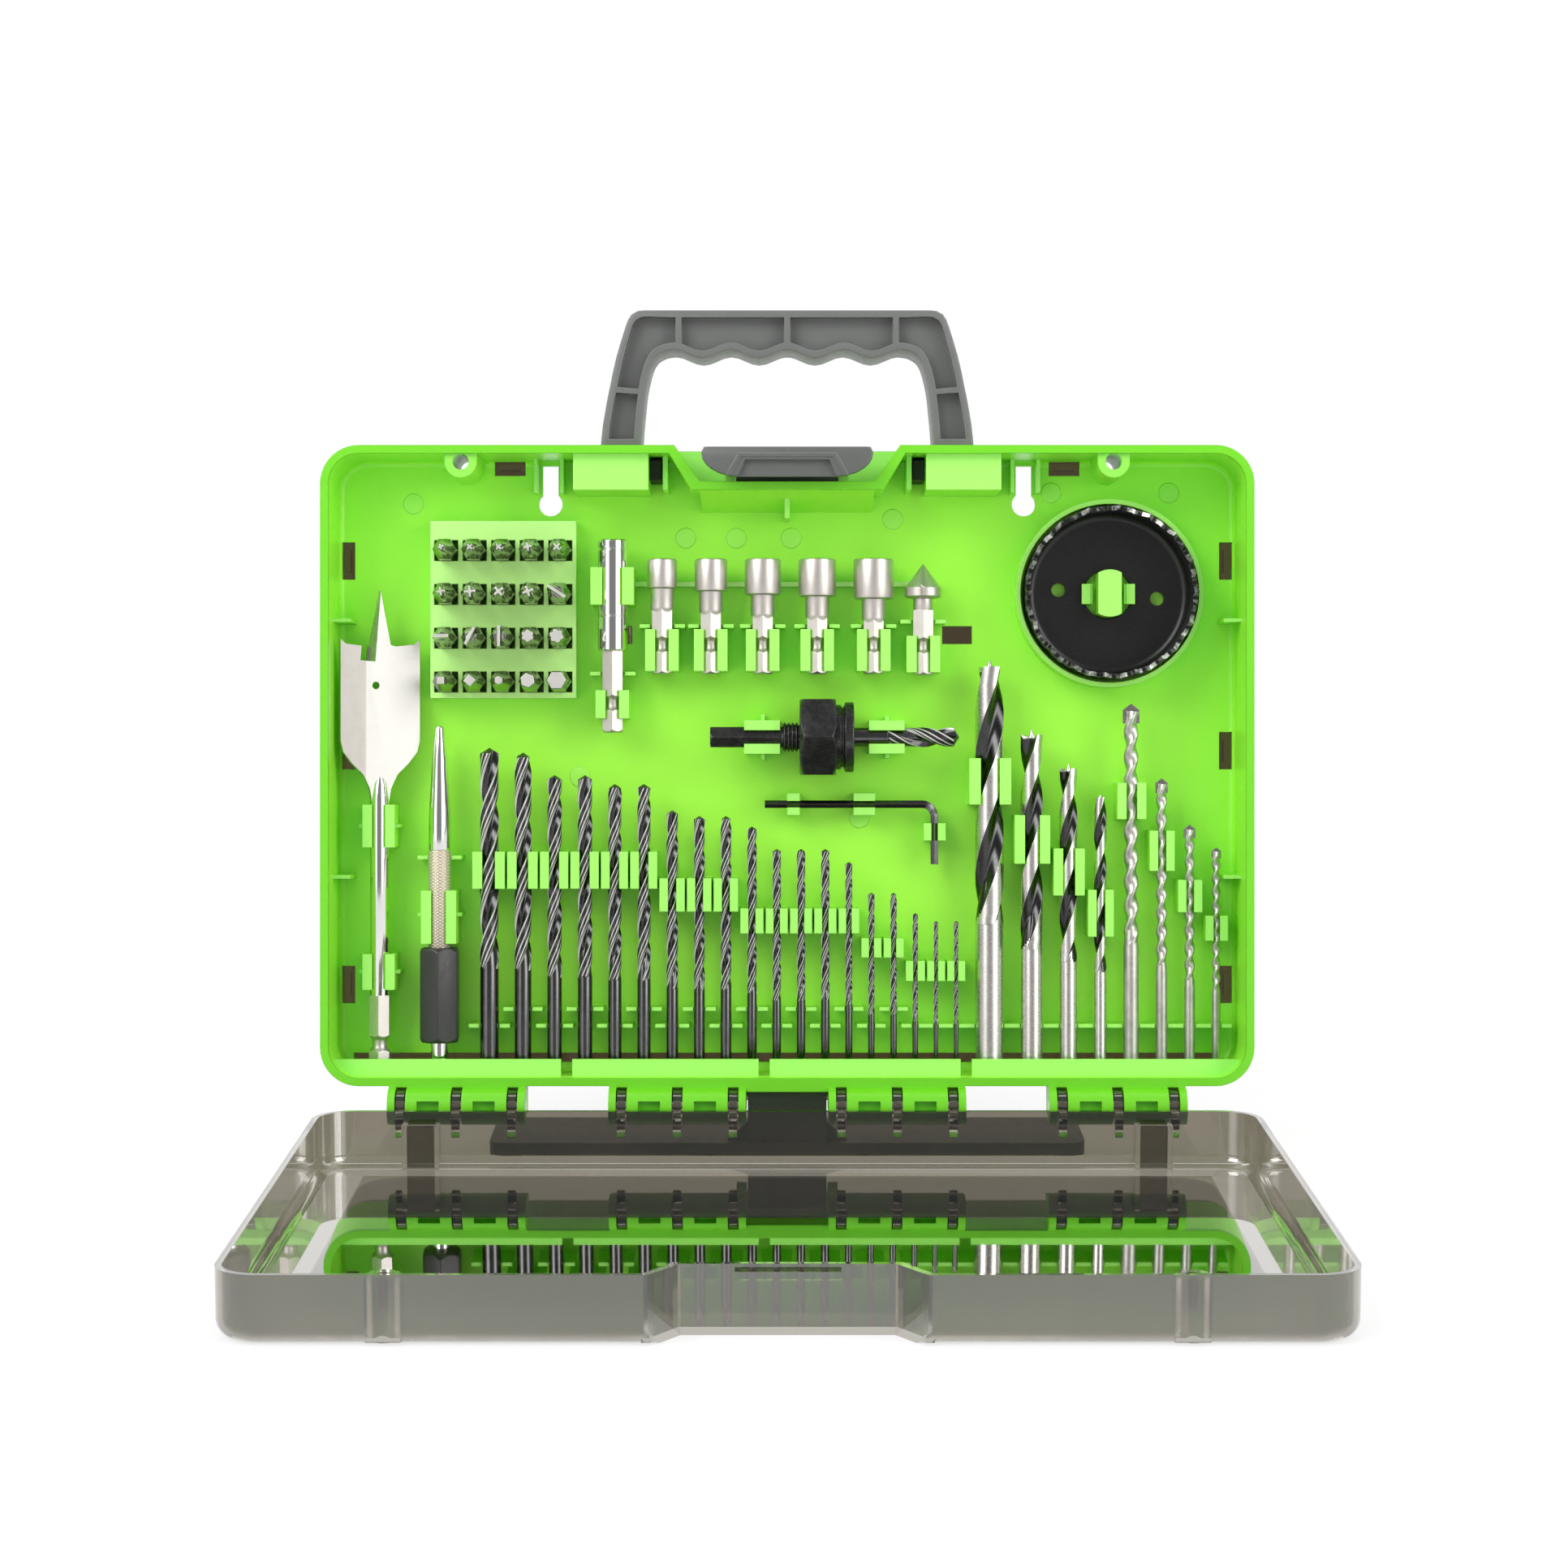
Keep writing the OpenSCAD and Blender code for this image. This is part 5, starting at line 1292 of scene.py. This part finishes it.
@dataclass
class FlatBit:
    """Flat wood bit: six-sided shank, round rod and a ground blade turned a little in its clips."""

    x: float = -128.5
    depth: float = 17.0
    foot: float = 2.8
    length: float = 152.0
    half: float = 12.7
    thickness: float = 2.4
    turn: float = 20.0
    rod: float = 3.0
    shank: DriveShank = field(default_factory=DriveShank)

    def blade(self) -> Workpiece:
        """Cuts the blade to its outline, grinds its point and drills its hole."""
        top, half = self.length, self.half
        right = [(0.0, top), (3.3, top - 17.2), (5.0, top - 17.6), (half - 1.6, top - 16.9),
                 (half, top - 15.4), (half, top - 47.5), (half - 0.9, top - 51.0),
                 (half - 3.6, top - 54.5), (half - 7.2, top - 58.0), (3.4, top - 62.5), (2.5, top - 68.5)]
        outline = right + [(-x, z) for x, z in reversed(right[1:])]
        blade = Workpiece.plate(outline, -self.thickness / 2, self.thickness / 2)
        blade.move(UPRIGHT).opened()
        bpy.ops.mesh.select_all(action="SELECT")
        bpy.ops.mesh.bisect(plane_co=(-4.6, 0.0, 0.0), plane_no=(1.0, 0.0, 0.0))
        blade.pick(lambda at: at.x < -4.7 and at.y < 0.0)
        bpy.ops.transform.translate(value=(0.0, 0.45, 0.0))
        blade.closed()
        corner = [(0.2, -1.3), (-2.6, 1.4), (-4.6, 1.4), (-4.6, -3.0), (0.2, -3.0)]
        wedge = Workpiece.plate(corner, -22.5, 3.0)
        tilt = Matrix.Rotation(math.radians(4.5), 4, "Y")
        blade.cut(wedge.move(Matrix.Translation((0.0, 0.0, top)) @ tilt))
        drill = Workpiece.turned([(1.15, -3.0), (1.15, 3.0)], sides=24)
        blade.cut(drill.move(Matrix.Translation((-1.5, 0.0, top - 30.0)) @ UPRIGHT))
        blade.coat(Finish.GROUND)
        # The left facet takes the darker satin steel and the point's bevels the darker tooled steel: painted
        # shade on faces turned from the light.
        blade.coat(Finish.SATIN, lambda at, way: at.x < -5.0 and way.y < -0.5)
        blade.coat(Finish.TOOLED, lambda at, way: at.z > top - 24.0 and 0.2 < abs(way.y) < 0.95)
        return blade.move(Matrix.Rotation(math.radians(self.turn), 4, "Z"))

    def build(self) -> None:
        """Builds the bit and sets it in its clips."""
        r, top = self.rod, self.length
        rod = Workpiece.turned([(2.7, 23.4), (r, 24.3), (r, top - 66.0), (0.8 * r, top - 61.0),
                                (0.2, top - 57.0)], sides=32)
        rod.coat(Finish.CHROME)
        place = TRAY.matrix((self.x, self.depth, self.foot))
        self.blade().install("flat_bit_blade", place, ["spade_bit"], crease=12.0)
        rod.join(self.shank.make(24.4).coat(Finish.SATIN)).install("flat_bit_rod", place, ["spade_bit"])


@dataclass
class CentrePunch:
    """Centre punch with a six-sided grip, a knurled body and a polished cone."""

    x: float = -109.6
    depth: float = 17.0
    foot: float = 2.8
    grip_low: float = 12.3
    grip_length: float = 30.0
    grip_across: float = 11.7
    radius: float = 3.45
    cone_low: float = 73.0
    top: float = 112.1

    def build(self) -> None:
        """Builds the body and its grip."""
        r, low, high = self.radius, self.foot, self.grip_low + self.grip_length
        steel = Workpiece.turned([(2.2, low), (2.8, low + 0.6), (2.8, high)], sides=32).coat(Finish.CHROME)
        knurl = Workpiece.turned([(r - 0.25, high - 0.5), (r, high + 0.3), (r, self.cone_low - 0.4),
                                  (r - 0.2, self.cone_low)], sides=48).coat(Finish.KNURL)
        start = self.cone_low
        cone = Workpiece.turned([
            (r - 0.05, start), (r, start + 0.3), (r, start + 10.0), (0.96 * r, start + 13.0),
            (0.86 * r, start + 18.5), (0.66 * r, start + 29.0), (0.4 * r, self.top - 1.0),
            (0.3 * r, self.top - 0.25), (0.16 * r, self.top)], sides=48).coat(Finish.CHROME)
        place = TRAY.matrix((self.x, self.depth, 0.0))
        steel.join(knurl, cone).install("centre_punch", place, ["punch_body"])
        corner = self.grip_across / math.sqrt(3.0)
        grip = Workpiece.turned([(0.82 * corner, self.grip_low), (corner, self.grip_low + 1.5),
                                 (corner, high - 1.6), (0.82 * corner, high - 0.1)], sides=48)
        grip.flats(6, self.grip_across / 2).soften(0.35, 20.0, 3).coat(Finish.RUBBER)
        grip.install("punch_handle", place, ["punch_grip"])


# ------------------------------------------------------------------------- arbor and hole saw


@dataclass
class Arbor:
    """The hole saw's arbor, lying across the tray: shank, nut, ringed collar and pilot drill."""

    x: float = -24.2
    depth: float = 13.517
    height: float = 108.5
    nut_x: float = 3.9
    nut_thickness: float = 11.4
    nut_across: float = 23.7
    collar_radius: float = 11.0
    collar_thickness: float = 5.6
    pilot: Drill = Drill(DrillKind.TWIST, 6.2, 45.2, fluted=0.5, lead=5.0, phase=0.3)
    pilot_reach: float = 33.2

    def build(self) -> None:
        """Builds the arbor's pieces from left to right."""
        neck = self.nut_x - self.x
        shank = Workpiece.turned([(3.2, 0.0), (3.66, 0.7), (3.66, neck - 5.0)], sides=36).flats(6, 3.175)
        threads = [(3.4, neck - 5.4)]
        for step in range(4):
            low = neck - 5.2 + 1.25 * step
            threads += [(4.65, low + 0.35), (4.65, low + 0.6), (3.9, low + 1.0)]
        thread = Workpiece.turned(threads + [(3.9, neck + 1.0)], sides=40)
        shank.join(thread).coat(Finish.BLACKED).install(
            "arbor_shaft", lying(self.x, self.depth, self.height), ["arbor_shank"])
        corner = self.nut_across / math.sqrt(3.0)
        nut = Workpiece.turned([(0.84 * corner, 0.0), (corner, 1.5), (corner, self.nut_thickness - 1.2),
                                (0.88 * corner, self.nut_thickness)], sides=72)
        nut.flats(6, self.nut_across / 2).soften(0.25, 25.0).coat(Finish.BLACKED)
        nut.install("arbor_hex_nut", lying(self.nut_x, self.depth, self.height), ["arbor_nut"])
        r = self.collar_radius
        end = self.collar_thickness
        collar = Workpiece.turned([
            (r - 2.0, 0.0), (r - 0.8, 0.05), (r - 0.8, 1.5), (r - 1.5, 1.8), (r - 1.5, 2.3),
            (r, 2.9), (r, 5.3), (r - 0.3, end), (4.0, end)], sides=72).coat(Finish.BLACKED)
        collar.install("arbor_ring", lying(self.nut_x + self.nut_thickness, self.depth, self.height),
                       ["arbor_collar"])
        pilot = self.pilot.make()
        start = (self.nut_x + self.nut_thickness + self.collar_thickness + self.pilot_reach
                 - self.pilot.length)
        pilot.install("arbor_pilot", lying(start, self.depth, self.height), ["pilot_drill"])


@dataclass
class HoleSaw:
    """Shallow hole saw with its teeth towards the front."""

    x: float = 101.8
    back: float = 27.2
    height: float = 154.0
    radius: float = 27.0
    depth: float = 18.0
    wall: float = 1.4
    plate: float = 3.0
    bore: float = 7.7
    teeth: int = 34
    tooth: float = 1.8
    hole_radius: float = 2.2
    hole_ring: float = 15.7

    def cup(self) -> Workpiece:
        """Turns the cup as one closed ring of steps."""
        r, inner, top = self.radius, self.radius - self.wall, self.depth - self.tooth
        plate, bore = self.plate, self.bore
        sides = 4 * self.teeth
        profile = [(r - 0.9, 0.0), (r, 0.9), (r, top), (inner, top), (inner, plate + 2.4),
                   (inner - 0.3, plate + 1.3), (inner - 0.9, plate + 0.5), (inner - 1.7, plate + 0.1),
                   (inner - 2.4, plate), (bore + 0.3, plate), (bore, plate - 0.3), (bore, 0.0)]
        cup = Workpiece.disc(sides, profile[0][0], 0.0, filled=False).opened()
        cup.climb(profile + profile[:1])
        bpy.ops.mesh.select_all(action="SELECT")
        bpy.ops.mesh.remove_doubles(threshold=0.001)
        self.file_teeth(cup, sides, top)
        return cup.closed()

    def file_teeth(self, cup: Workpiece, sides: int, top: float) -> None:
        """Raises the rim's corners into teeth and sets every other tooth outwards.

        Args:
            cup: the cup, in edit mode.
            sides: corners round the rim.
            top: the rim's height before.
        """
        def number(at: Vector) -> int:
            """Numbers a corner round the rim."""
            return round(math.atan2(at.y, at.x) / math.tau * sides) % sides

        for step, rise in ((0, self.tooth), (1, 1.1), (2, 0.1), (3, -0.5)):
            cup.pick(lambda at: at.z > top - 0.01 and number(at) % 4 == step and at.z < top + 0.01)
            bpy.ops.transform.translate(value=(0.0, 0.0, rise))
        for step, share in ((0, 1.012), (4, 0.986)):
            cup.pick(lambda at: at.z > top + 1.5 and number(at) % 8 == step)
            bpy.ops.transform.resize(value=(share, share, 1.0), center_override=(0.0, 0.0, top))

    def build(self) -> None:
        """Builds the hole saw and sets it on its peg."""
        saw = self.cup()
        for angle in (-5.0, 175.0):
            way = math.radians(angle)
            hole = Workpiece.turned([(self.hole_radius, -2.0), (self.hole_radius, 6.0)], sides=32)
            place = (self.hole_ring * math.cos(way), self.hole_ring * math.sin(way), 0.0)
            saw.cut(hole.move(Matrix.Translation(place)))
        saw.coat(Finish.ENAMEL)
        saw.coat(Finish.WORN, lambda at, way: at.z > self.depth - 1.9)
        saw.install("hole_saw_cup", facing(self.x, self.back, self.height), ["hole_saw"], crease=40.0)


# ------------------------------------------------------------------------- handle and latch


@dataclass
class CarryHandle:
    """Carrying handle: a thin web between thin rims, cross ribs, and waves for the fingers."""

    height: float = 199.0
    middle: float = 15.0
    thickness: float = 20.0
    web: float = 12.0
    rim: float = 2.3
    top: float = 42.6
    wave: float = 1.3
    wave_pitch: float = 17.6
    bar: float = 13.7
    # Outer and inner corner of each station of a leg, across and up, from the foot on
    legs: tuple[tuple[float, float, float, float], ...] = (
        (58.2, -11.5, 45.2, -11.5), (58.2, 0.0, 45.6, 0.0), (58.0, 2.4, 45.5, 2.4),
        (57.5, 7.0, 45.2, 7.0), (56.3, 14.0, 44.6, 13.0), (55.7, 17.0, 44.3, 16.2),
        (55.3, 18.8, 44.1, 17.8), (54.5, 23.0, 43.6, 20.5), (53.2, 28.5, 42.9, 23.5),
        (51.7, 33.6, 42.1, 26.0), (50.5, 37.4, 41.3, 27.5), (49.7, 39.6, 40.6, 28.3),
        (48.6, 41.3, 39.8, 28.9), (46.6, 42.4, 38.9, 29.4), (44.6, 42.6, 37.9, 29.8))
    # Stations of the bar between the legs, from its end to its middle
    tops: tuple[float, ...] = (36.3, 34.8, 33.0, *(round(30.8 - 2.2 * step, 1) for step in range(14)), 0.9)
    pockets: tuple[tuple[int, int], ...] = ((2, 5), (6, 16), (17, 32))

    def stations(self) -> list[tuple[Vector, Vector]]:
        """Gives the outer and inner corner of each station of the right half, from the foot on."""
        pairs = [(Vector((ox, oz)), Vector((ix, iz))) for ox, oz, ix, iz in self.legs]
        for x in self.tops:
            low = self.top - self.bar + self.wave * math.cos(math.tau * x / self.wave_pitch)
            pairs.append((Vector((x, self.top)), Vector((x, low))))
        return pairs

    def build(self) -> None:
        """Cuts the frame to its outline, then the pockets from both sides."""
        pairs = self.stations()
        outer, inner = [pair[0] for pair in pairs], [pair[1] for pair in pairs]
        mirror = Vector((-1.0, 1.0))
        outline = (outer + [point * mirror for point in reversed(outer)]
                   + [point * mirror for point in inner] + list(reversed(inner)))
        half = self.thickness / 2
        frame_plate = Workpiece.plate([tuple(point) for point in outline], -half, half).soften(0.7, 50.0)
        for first, last in self.pockets:
            for side in (1.0, -1.0):
                pocket = []
                for index in range(first, last + 1):
                    way = (inner[index] - outer[index]).normalized() * self.rim
                    pocket.append((outer[index] + way, inner[index] - way))
                points = [pair[0] for pair in pocket] + [pair[1] for pair in reversed(pocket)]
                points = [(side * point.x, point.y) for point in points]
                for low, high in ((self.web / 2, half + 1.0), (-half - 1.0, -self.web / 2)):
                    frame_plate.cut(Workpiece.plate(points, low, high))
        frame_plate.move(UPRIGHT).coat(Finish.CHARCOAL)
        frame_plate.install("carry_handle", TRAY.matrix((0.0, self.middle, self.height)), ["handle"])


@dataclass
class LatchCap:
    """Latch with a boat-shaped lip, a top plate and a barrel round its pin."""

    half: float = 26.5
    top: float = 197.7
    front: float = -8.5
    back: float = 10.5
    lip: float = 3.9
    plate: float = 3.2
    barrel_z: float = 190.7
    barrel_y: float = 9.0

    def slab(self, outline: list[tuple[float, float]], front: float, back: float) -> Workpiece:
        """Cuts a slab whose outline is seen from the front.

        Args:
            outline: corners across and up.
            front: depth of its front face.
            back: depth of its back face.

        Returns:
            The slab, with depth along Y.
        """
        return Workpiece.plate(outline, -back, -front).move(UPRIGHT)

    @staticmethod
    def oblong(first: float, second: float, high: float, low: float) -> list[tuple[float, float]]:
        """Gives the corners of an oblong between two places across and two heights."""
        return [(first, high), (first, low), (second, low), (second, high)]

    def build(self) -> None:
        """Builds the latch from its slabs and its barrel."""
        h, top = self.half, self.top
        side = [(h - 1.7, top), (h - 0.4, top - 0.7), (h, top - 2.0), (h - 0.35, top - 3.7),
                (h - 1.3, top - 5.2), (h - 2.9, top - 6.6), (h - 5.2, top - 7.9), (h - 8.4, top - 8.8),
                (h - 10.5, top - 9.1)]
        boat = side + [(-x, z) for x, z in reversed(side)]
        lip = self.slab(boat, self.front, self.front + self.lip).soften(0.5, 40.0)
        pocket = [(15.8, top - 10.0), (13.0, top - 4.0), (-13.0, top - 4.0), (-15.8, top - 10.0)]
        lip.cut(self.slab(pocket, self.front - 1.0, self.front + 1.6))
        frame_bead = [(19.0, top - 8.8), (17.4, top - 8.8), (14.2, top - 3.2), (-14.2, top - 3.2),
                      (-17.4, top - 8.8), (-19.0, top - 8.8), (-15.0, top - 1.9), (15.0, top - 1.9)]
        bead = self.slab(frame_bead, self.front - 0.45, self.front + 0.5).soften(0.2, 40.0)
        cover = self.slab(self.oblong(h - 0.6, 0.6 - h, top, top - self.plate),
                          self.front + 0.6, self.back).soften(0.4, 40.0)
        neck = self.slab(self.oblong(16.0, -16.0, top - 1.0, self.barrel_z), 6.8, self.back)
        cheeks = [self.slab(self.oblong(s * (h - 3.2), s * (h - 5.4), top - 1.0, top - 5.6),
                            self.front + 1.0, self.barrel_y) for s in (-1, 1)]
        barrel = Workpiece.turned([(1.3, -16.0), (3.0, -16.0), (3.0, 16.0), (1.3, 16.0)], sides=40)
        across = Matrix.Rotation(math.pi / 2, 4, "Y")
        barrel.move(Matrix.Translation((0.0, self.barrel_y, self.barrel_z)) @ across)
        lip.join(bead, cover, neck, barrel, *cheeks).coat(Finish.GREY)
        lip.install("latch_cap", TRAY.matrix(), ["latch"], body="latch_body")


# ------------------------------------------------------------------------------ floor trim


@dataclass
class FloorTrim:
    """Small moulded marks of the tray: pin marks on its floor painted paler as sheen, a long rib painted in
    the paler block green as a highlight, and two near-black boxes that paint the shade in two slots.
    """

    floor: float = 27.5
    pin_radius: float = 3.3
    pins: tuple[tuple[float, float], ...] = ((-32.3, 172.1), (-16.2, 172.1), (1.3, 172.1), (33.6, 178.1),
                                             (23.0, 83.0), (-119.0, 183.0), (84.0, 186.5), (121.5, 186.5),
                                             (-66.0, 96.0), (-44.5, 63.0), (66.0, 117.0))
    rib_ends: tuple[float, float] = (-50.5, 47.5)
    rib_z: float = 157.2
    rib_half: float = 0.8
    rib_front: float = 23.9
    slot_x: tuple[float, float] = (44.3, 39.4)
    slot_z: tuple[float, float] = (189.2, 195.4)
    slot_front: float = 12.0

    def build(self) -> None:
        """Builds the marks and the rib."""
        marks, r = [], self.pin_radius
        for x, z in self.pins:
            mark = Workpiece.turned([(r - 0.3, -0.2), (r, 0.02), (r - 0.15, 0.06)], sides=40)
            marks.append(mark.move(Matrix.Translation((x, self.floor, z)) @ UPRIGHT))
        # The pin marks take the paler green: a painted sheen.
        marks[0].join(*marks[1:]).coat(Finish.PIN_SHEEN).install("pin_marks", TRAY.matrix())
        (low, high), front, back = self.rib_ends, self.slot_front, self.floor + 0.2
        rib = Workpiece.plate([(low, back), (low, self.rib_front), (high, self.rib_front), (high, back)],
                              self.rib_z - self.rib_half, self.rib_z + self.rib_half).soften(0.25, 40.0)
        # The rib takes the paler block green: a painted highlight on the tray's own plastic.
        rib.coat(Finish.BLOCK).install("long_rib", TRAY.matrix())
        # Two near-black boxes fill two slots: painted shade.
        for side, name in ((-1, "left"), (1, "right")):
            near, far = side * self.slot_x[0], side * self.slot_x[1]
            slot = Workpiece.plate([(near, front), (far, front), (far, back), (near, back)], *self.slot_z)
            slot.coat(Finish.SLOT_SHADE).install(f"slot_shadow_{name}", TRAY.matrix())


# -------------------------------------------------------------------------------- lid panel


@dataclass
class LidPanel:
    """A thin dark panel laid in the shallow recess of the lid's outer face; it darkens what shows through the
    lid there.
    """

    half_width: float = 128.6
    near: float = 16.4
    far: float = 171.3
    corner: float = 15.0
    low: float = 0.06
    high: float = 0.42

    def build(self) -> None:
        """Cuts the panel with round corners and lays it under the lid."""
        w, c = self.half_width, self.corner
        outline = []
        for sign_x, sign_z, first in ((1, 1, 0), (-1, 1, 90), (-1, -1, 180), (1, -1, 270)):
            middle = (sign_x * (w - c), (self.far - c) if sign_z > 0 else (self.near + c))
            for step in range(7):
                angle = math.radians(first + 15 * step)
                outline.append((middle[0] + c * math.cos(angle), middle[1] + c * math.sin(angle)))
        panel = Workpiece.plate(outline, self.low, self.high).coat(Finish.PANEL)
        place = (Matrix.Scale(MM, 4) @ Matrix.Translation((0.0, TRAY.hinge_y - TRAY.drop, 0.0))
                 @ Matrix.Scale(-1.0, 4, (0.0, 1.0, 0.0)))
        panel.move(place).opened().closed()
        panel.install("lid_panel", Matrix(), body="lid_body")


# ------------------------------------------------------------------------------ the studio


@dataclass
class Studio:
    """Camera, lamps, world and floor."""

    camera_height: float = 0.232
    camera_y: float = -0.9472
    camera_x: float = -0.001
    lens: float = 76.94
    key_power: float = 19.0
    fill_power: float = 12.5
    top_power: float = 8.0
    world_level: float = 0.82
    strip_level: float = 1.7
    front_level: float = 0.25

    def place_camera(self) -> None:
        """Puts the camera at the photograph's viewing angle."""
        data = bpy.data.cameras.new("camera")
        data.lens, data.sensor_width = self.lens, 36.0
        data.clip_start, data.clip_end = 0.05, 50.0
        camera = bpy.data.objects.new("camera", data)
        camera.location = (self.camera_x, self.camera_y, self.camera_height)
        camera.rotation_euler = (math.pi / 2 - LEAN, 0.0, 0.0)
        bpy.context.scene.collection.objects.link(camera)
        bpy.context.scene.camera = camera

    def place_lamp(self, name: str, place: Point, aim: Point, size: tuple[float, float],
                   power: float) -> None:
        """Hangs a soft box.

        Args:
            name: the lamp's name.
            place: where it hangs, in metres.
            aim: the point that it faces.
            size: its width and height.
            power: its power in watts.
        """
        data = bpy.data.lights.new(name, "AREA")
        data.shape, data.size, data.size_y, data.energy = "RECTANGLE", size[0], size[1], power
        lamp = bpy.data.objects.new(name, data)
        lamp.location = place
        lamp.rotation_euler = (Vector(aim) - Vector(place)).to_track_quat("-Z", "Y").to_euler()
        bpy.context.scene.collection.objects.link(lamp)

    def paint_world(self) -> None:
        """Gives the world an even soft light that the camera sees as white and metal sees in bands."""
        world = bpy.data.worlds.new("studio")
        bpy.context.scene.world = world
        world.use_nodes = True
        tree = world.node_tree
        tree.nodes.clear()
        desk = NodeDesk(tree)
        rays = desk.add("LightPath")
        way = desk.add("SeparateXYZ")
        desk.link(desk.add("TexCoord").outputs["Generated"], way.inputs[0])
        side = desk.maths("ABSOLUTE", desk.maths("SUBTRACT", desk.maths("ABSOLUTE", way.outputs[0]), 0.62))
        strips = desk.remap(side, 0.08, 0.24, self.strip_level, 0.0)
        behind = desk.remap(way.outputs[1], -0.1, 0.25, 0.0, 0.75)
        bands = desk.maths("ADD", desk.maths("MAXIMUM", strips, behind), self.front_level)
        level = desk.add("Mix", data_type="FLOAT")
        desk.link(rays.outputs["Is Glossy Ray"], level.inputs[0])
        level.inputs[2].default_value = self.world_level
        desk.link(bands, level.inputs[3])
        seen = desk.maths("MAXIMUM", rays.outputs["Is Camera Ray"], rays.outputs["Is Transmission Ray"])
        soft = desk.add("Background", Color=(1.0, 1.0, 1.0, 1.0))
        desk.link(level.outputs[0], soft.inputs["Strength"])
        white = desk.add("Background", Color=(1.0, 1.0, 1.0, 1.0), Strength=1.0)
        mix = desk.add("MixShader")
        desk.link(seen, mix.inputs[0])
        desk.link(soft.outputs[0], mix.inputs[1])
        desk.link(white.outputs[0], mix.inputs[2])
        desk.link(mix.outputs[0], desk.add("OutputWorld").inputs["Surface"])

    def lay_floor(self) -> None:
        """Lays a plain pale floor that runs far behind the case."""
        bpy.ops.object.select_all(action="DESELECT")
        bpy.ops.mesh.primitive_plane_add(size=12.0, location=(0.0, 2.0, 0.0))
        floor = bpy.context.object
        floor.name = "floor"
        floor.data.transform(floor.matrix_world)
        floor.matrix_world = Matrix.Identity(4)
        material = bpy.data.materials.new("pale_floor")
        material.use_nodes = True
        material.node_tree.nodes.clear()
        desk = NodeDesk(material.node_tree)
        rays = desk.add("LightPath")
        seen = desk.maths("MAXIMUM", rays.outputs["Is Camera Ray"], rays.outputs["Is Transmission Ray"])
        seen = desk.maths("MAXIMUM", seen, rays.outputs["Is Glossy Ray"])
        away = desk.add("VectorMath", operation="LENGTH")
        desk.link(desk.add("TexCoord").outputs["Object"], away.inputs[0])
        share = desk.maths("MULTIPLY", seen, desk.remap(away.outputs["Value"], 0.25, 0.6, 0.74, 1.0))
        paper = desk.add("BsdfDiffuse", Color=(0.9, 0.9, 0.9, 1.0))
        glow = desk.add("Emission", Color=(1.0, 1.0, 1.0, 1.0), Strength=1.0)
        mix = desk.add("MixShader")
        desk.link(share, mix.inputs[0])
        desk.link(paper.outputs[0], mix.inputs[1])
        desk.link(glow.outputs[0], mix.inputs[2])
        desk.link(mix.outputs[0], desk.add("OutputMaterial").inputs["Surface"])
        floor.data.materials.append(material)

    def build(self) -> None:
        """Builds the whole studio."""
        bpy.context.scene.view_settings.view_transform = "Standard"
        self.place_camera()
        self.place_lamp("key", (-1.1, -1.0, 1.25), (0.0, 0.05, 0.12), (1.1, 1.1), self.key_power)
        self.place_lamp("fill", (1.3, -0.9, 0.8), (0.0, 0.05, 0.12), (0.8, 1.4), self.fill_power)
        self.place_lamp("top", (0.0, 0.4, 1.7), (0.0, 0.0, 0.1), (1.6, 1.0), self.top_power)
        self.paint_world()
        self.lay_floor()
        LOG.info("studio is ready")


CARRIED: dict[str, Finish] = {
    "base_tray": Finish.GREEN, "bit_block": Finish.BLOCK, "back_cover": Finish.COVER,
    "lid": Finish.SMOKE, "stand": Finish.CHARCOAL,
    "hinge_pins": Finish.BRIGHT, "latch_pin": Finish.BRIGHT, "stand_pin": Finish.BRIGHT,
    "hex_key": Finish.OXIDE, "holder_magnet": Finish.ENAMEL, "nut_setter_magnets": Finish.ENAMEL,
    "arbor_set_screw": Finish.SATIN,
}


def main() -> None:
    """Builds the scene in order."""
    logging.basicConfig(level=logging.INFO)
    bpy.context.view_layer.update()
    Studio().build()
    for node, finish in CARRIED.items():
        dress(node, finish)
    for assembly in (DrillRow(), SocketRow(), BitBlock(), FlatBit(), CentrePunch(), Arbor(), HoleSaw(),
                     CarryHandle(), LatchCap(), FloorTrim(), LidPanel()):
        LOG.info("builds %s", type(assembly).__name__)
        assembly.build()


if __name__ == "__main__":
    main()
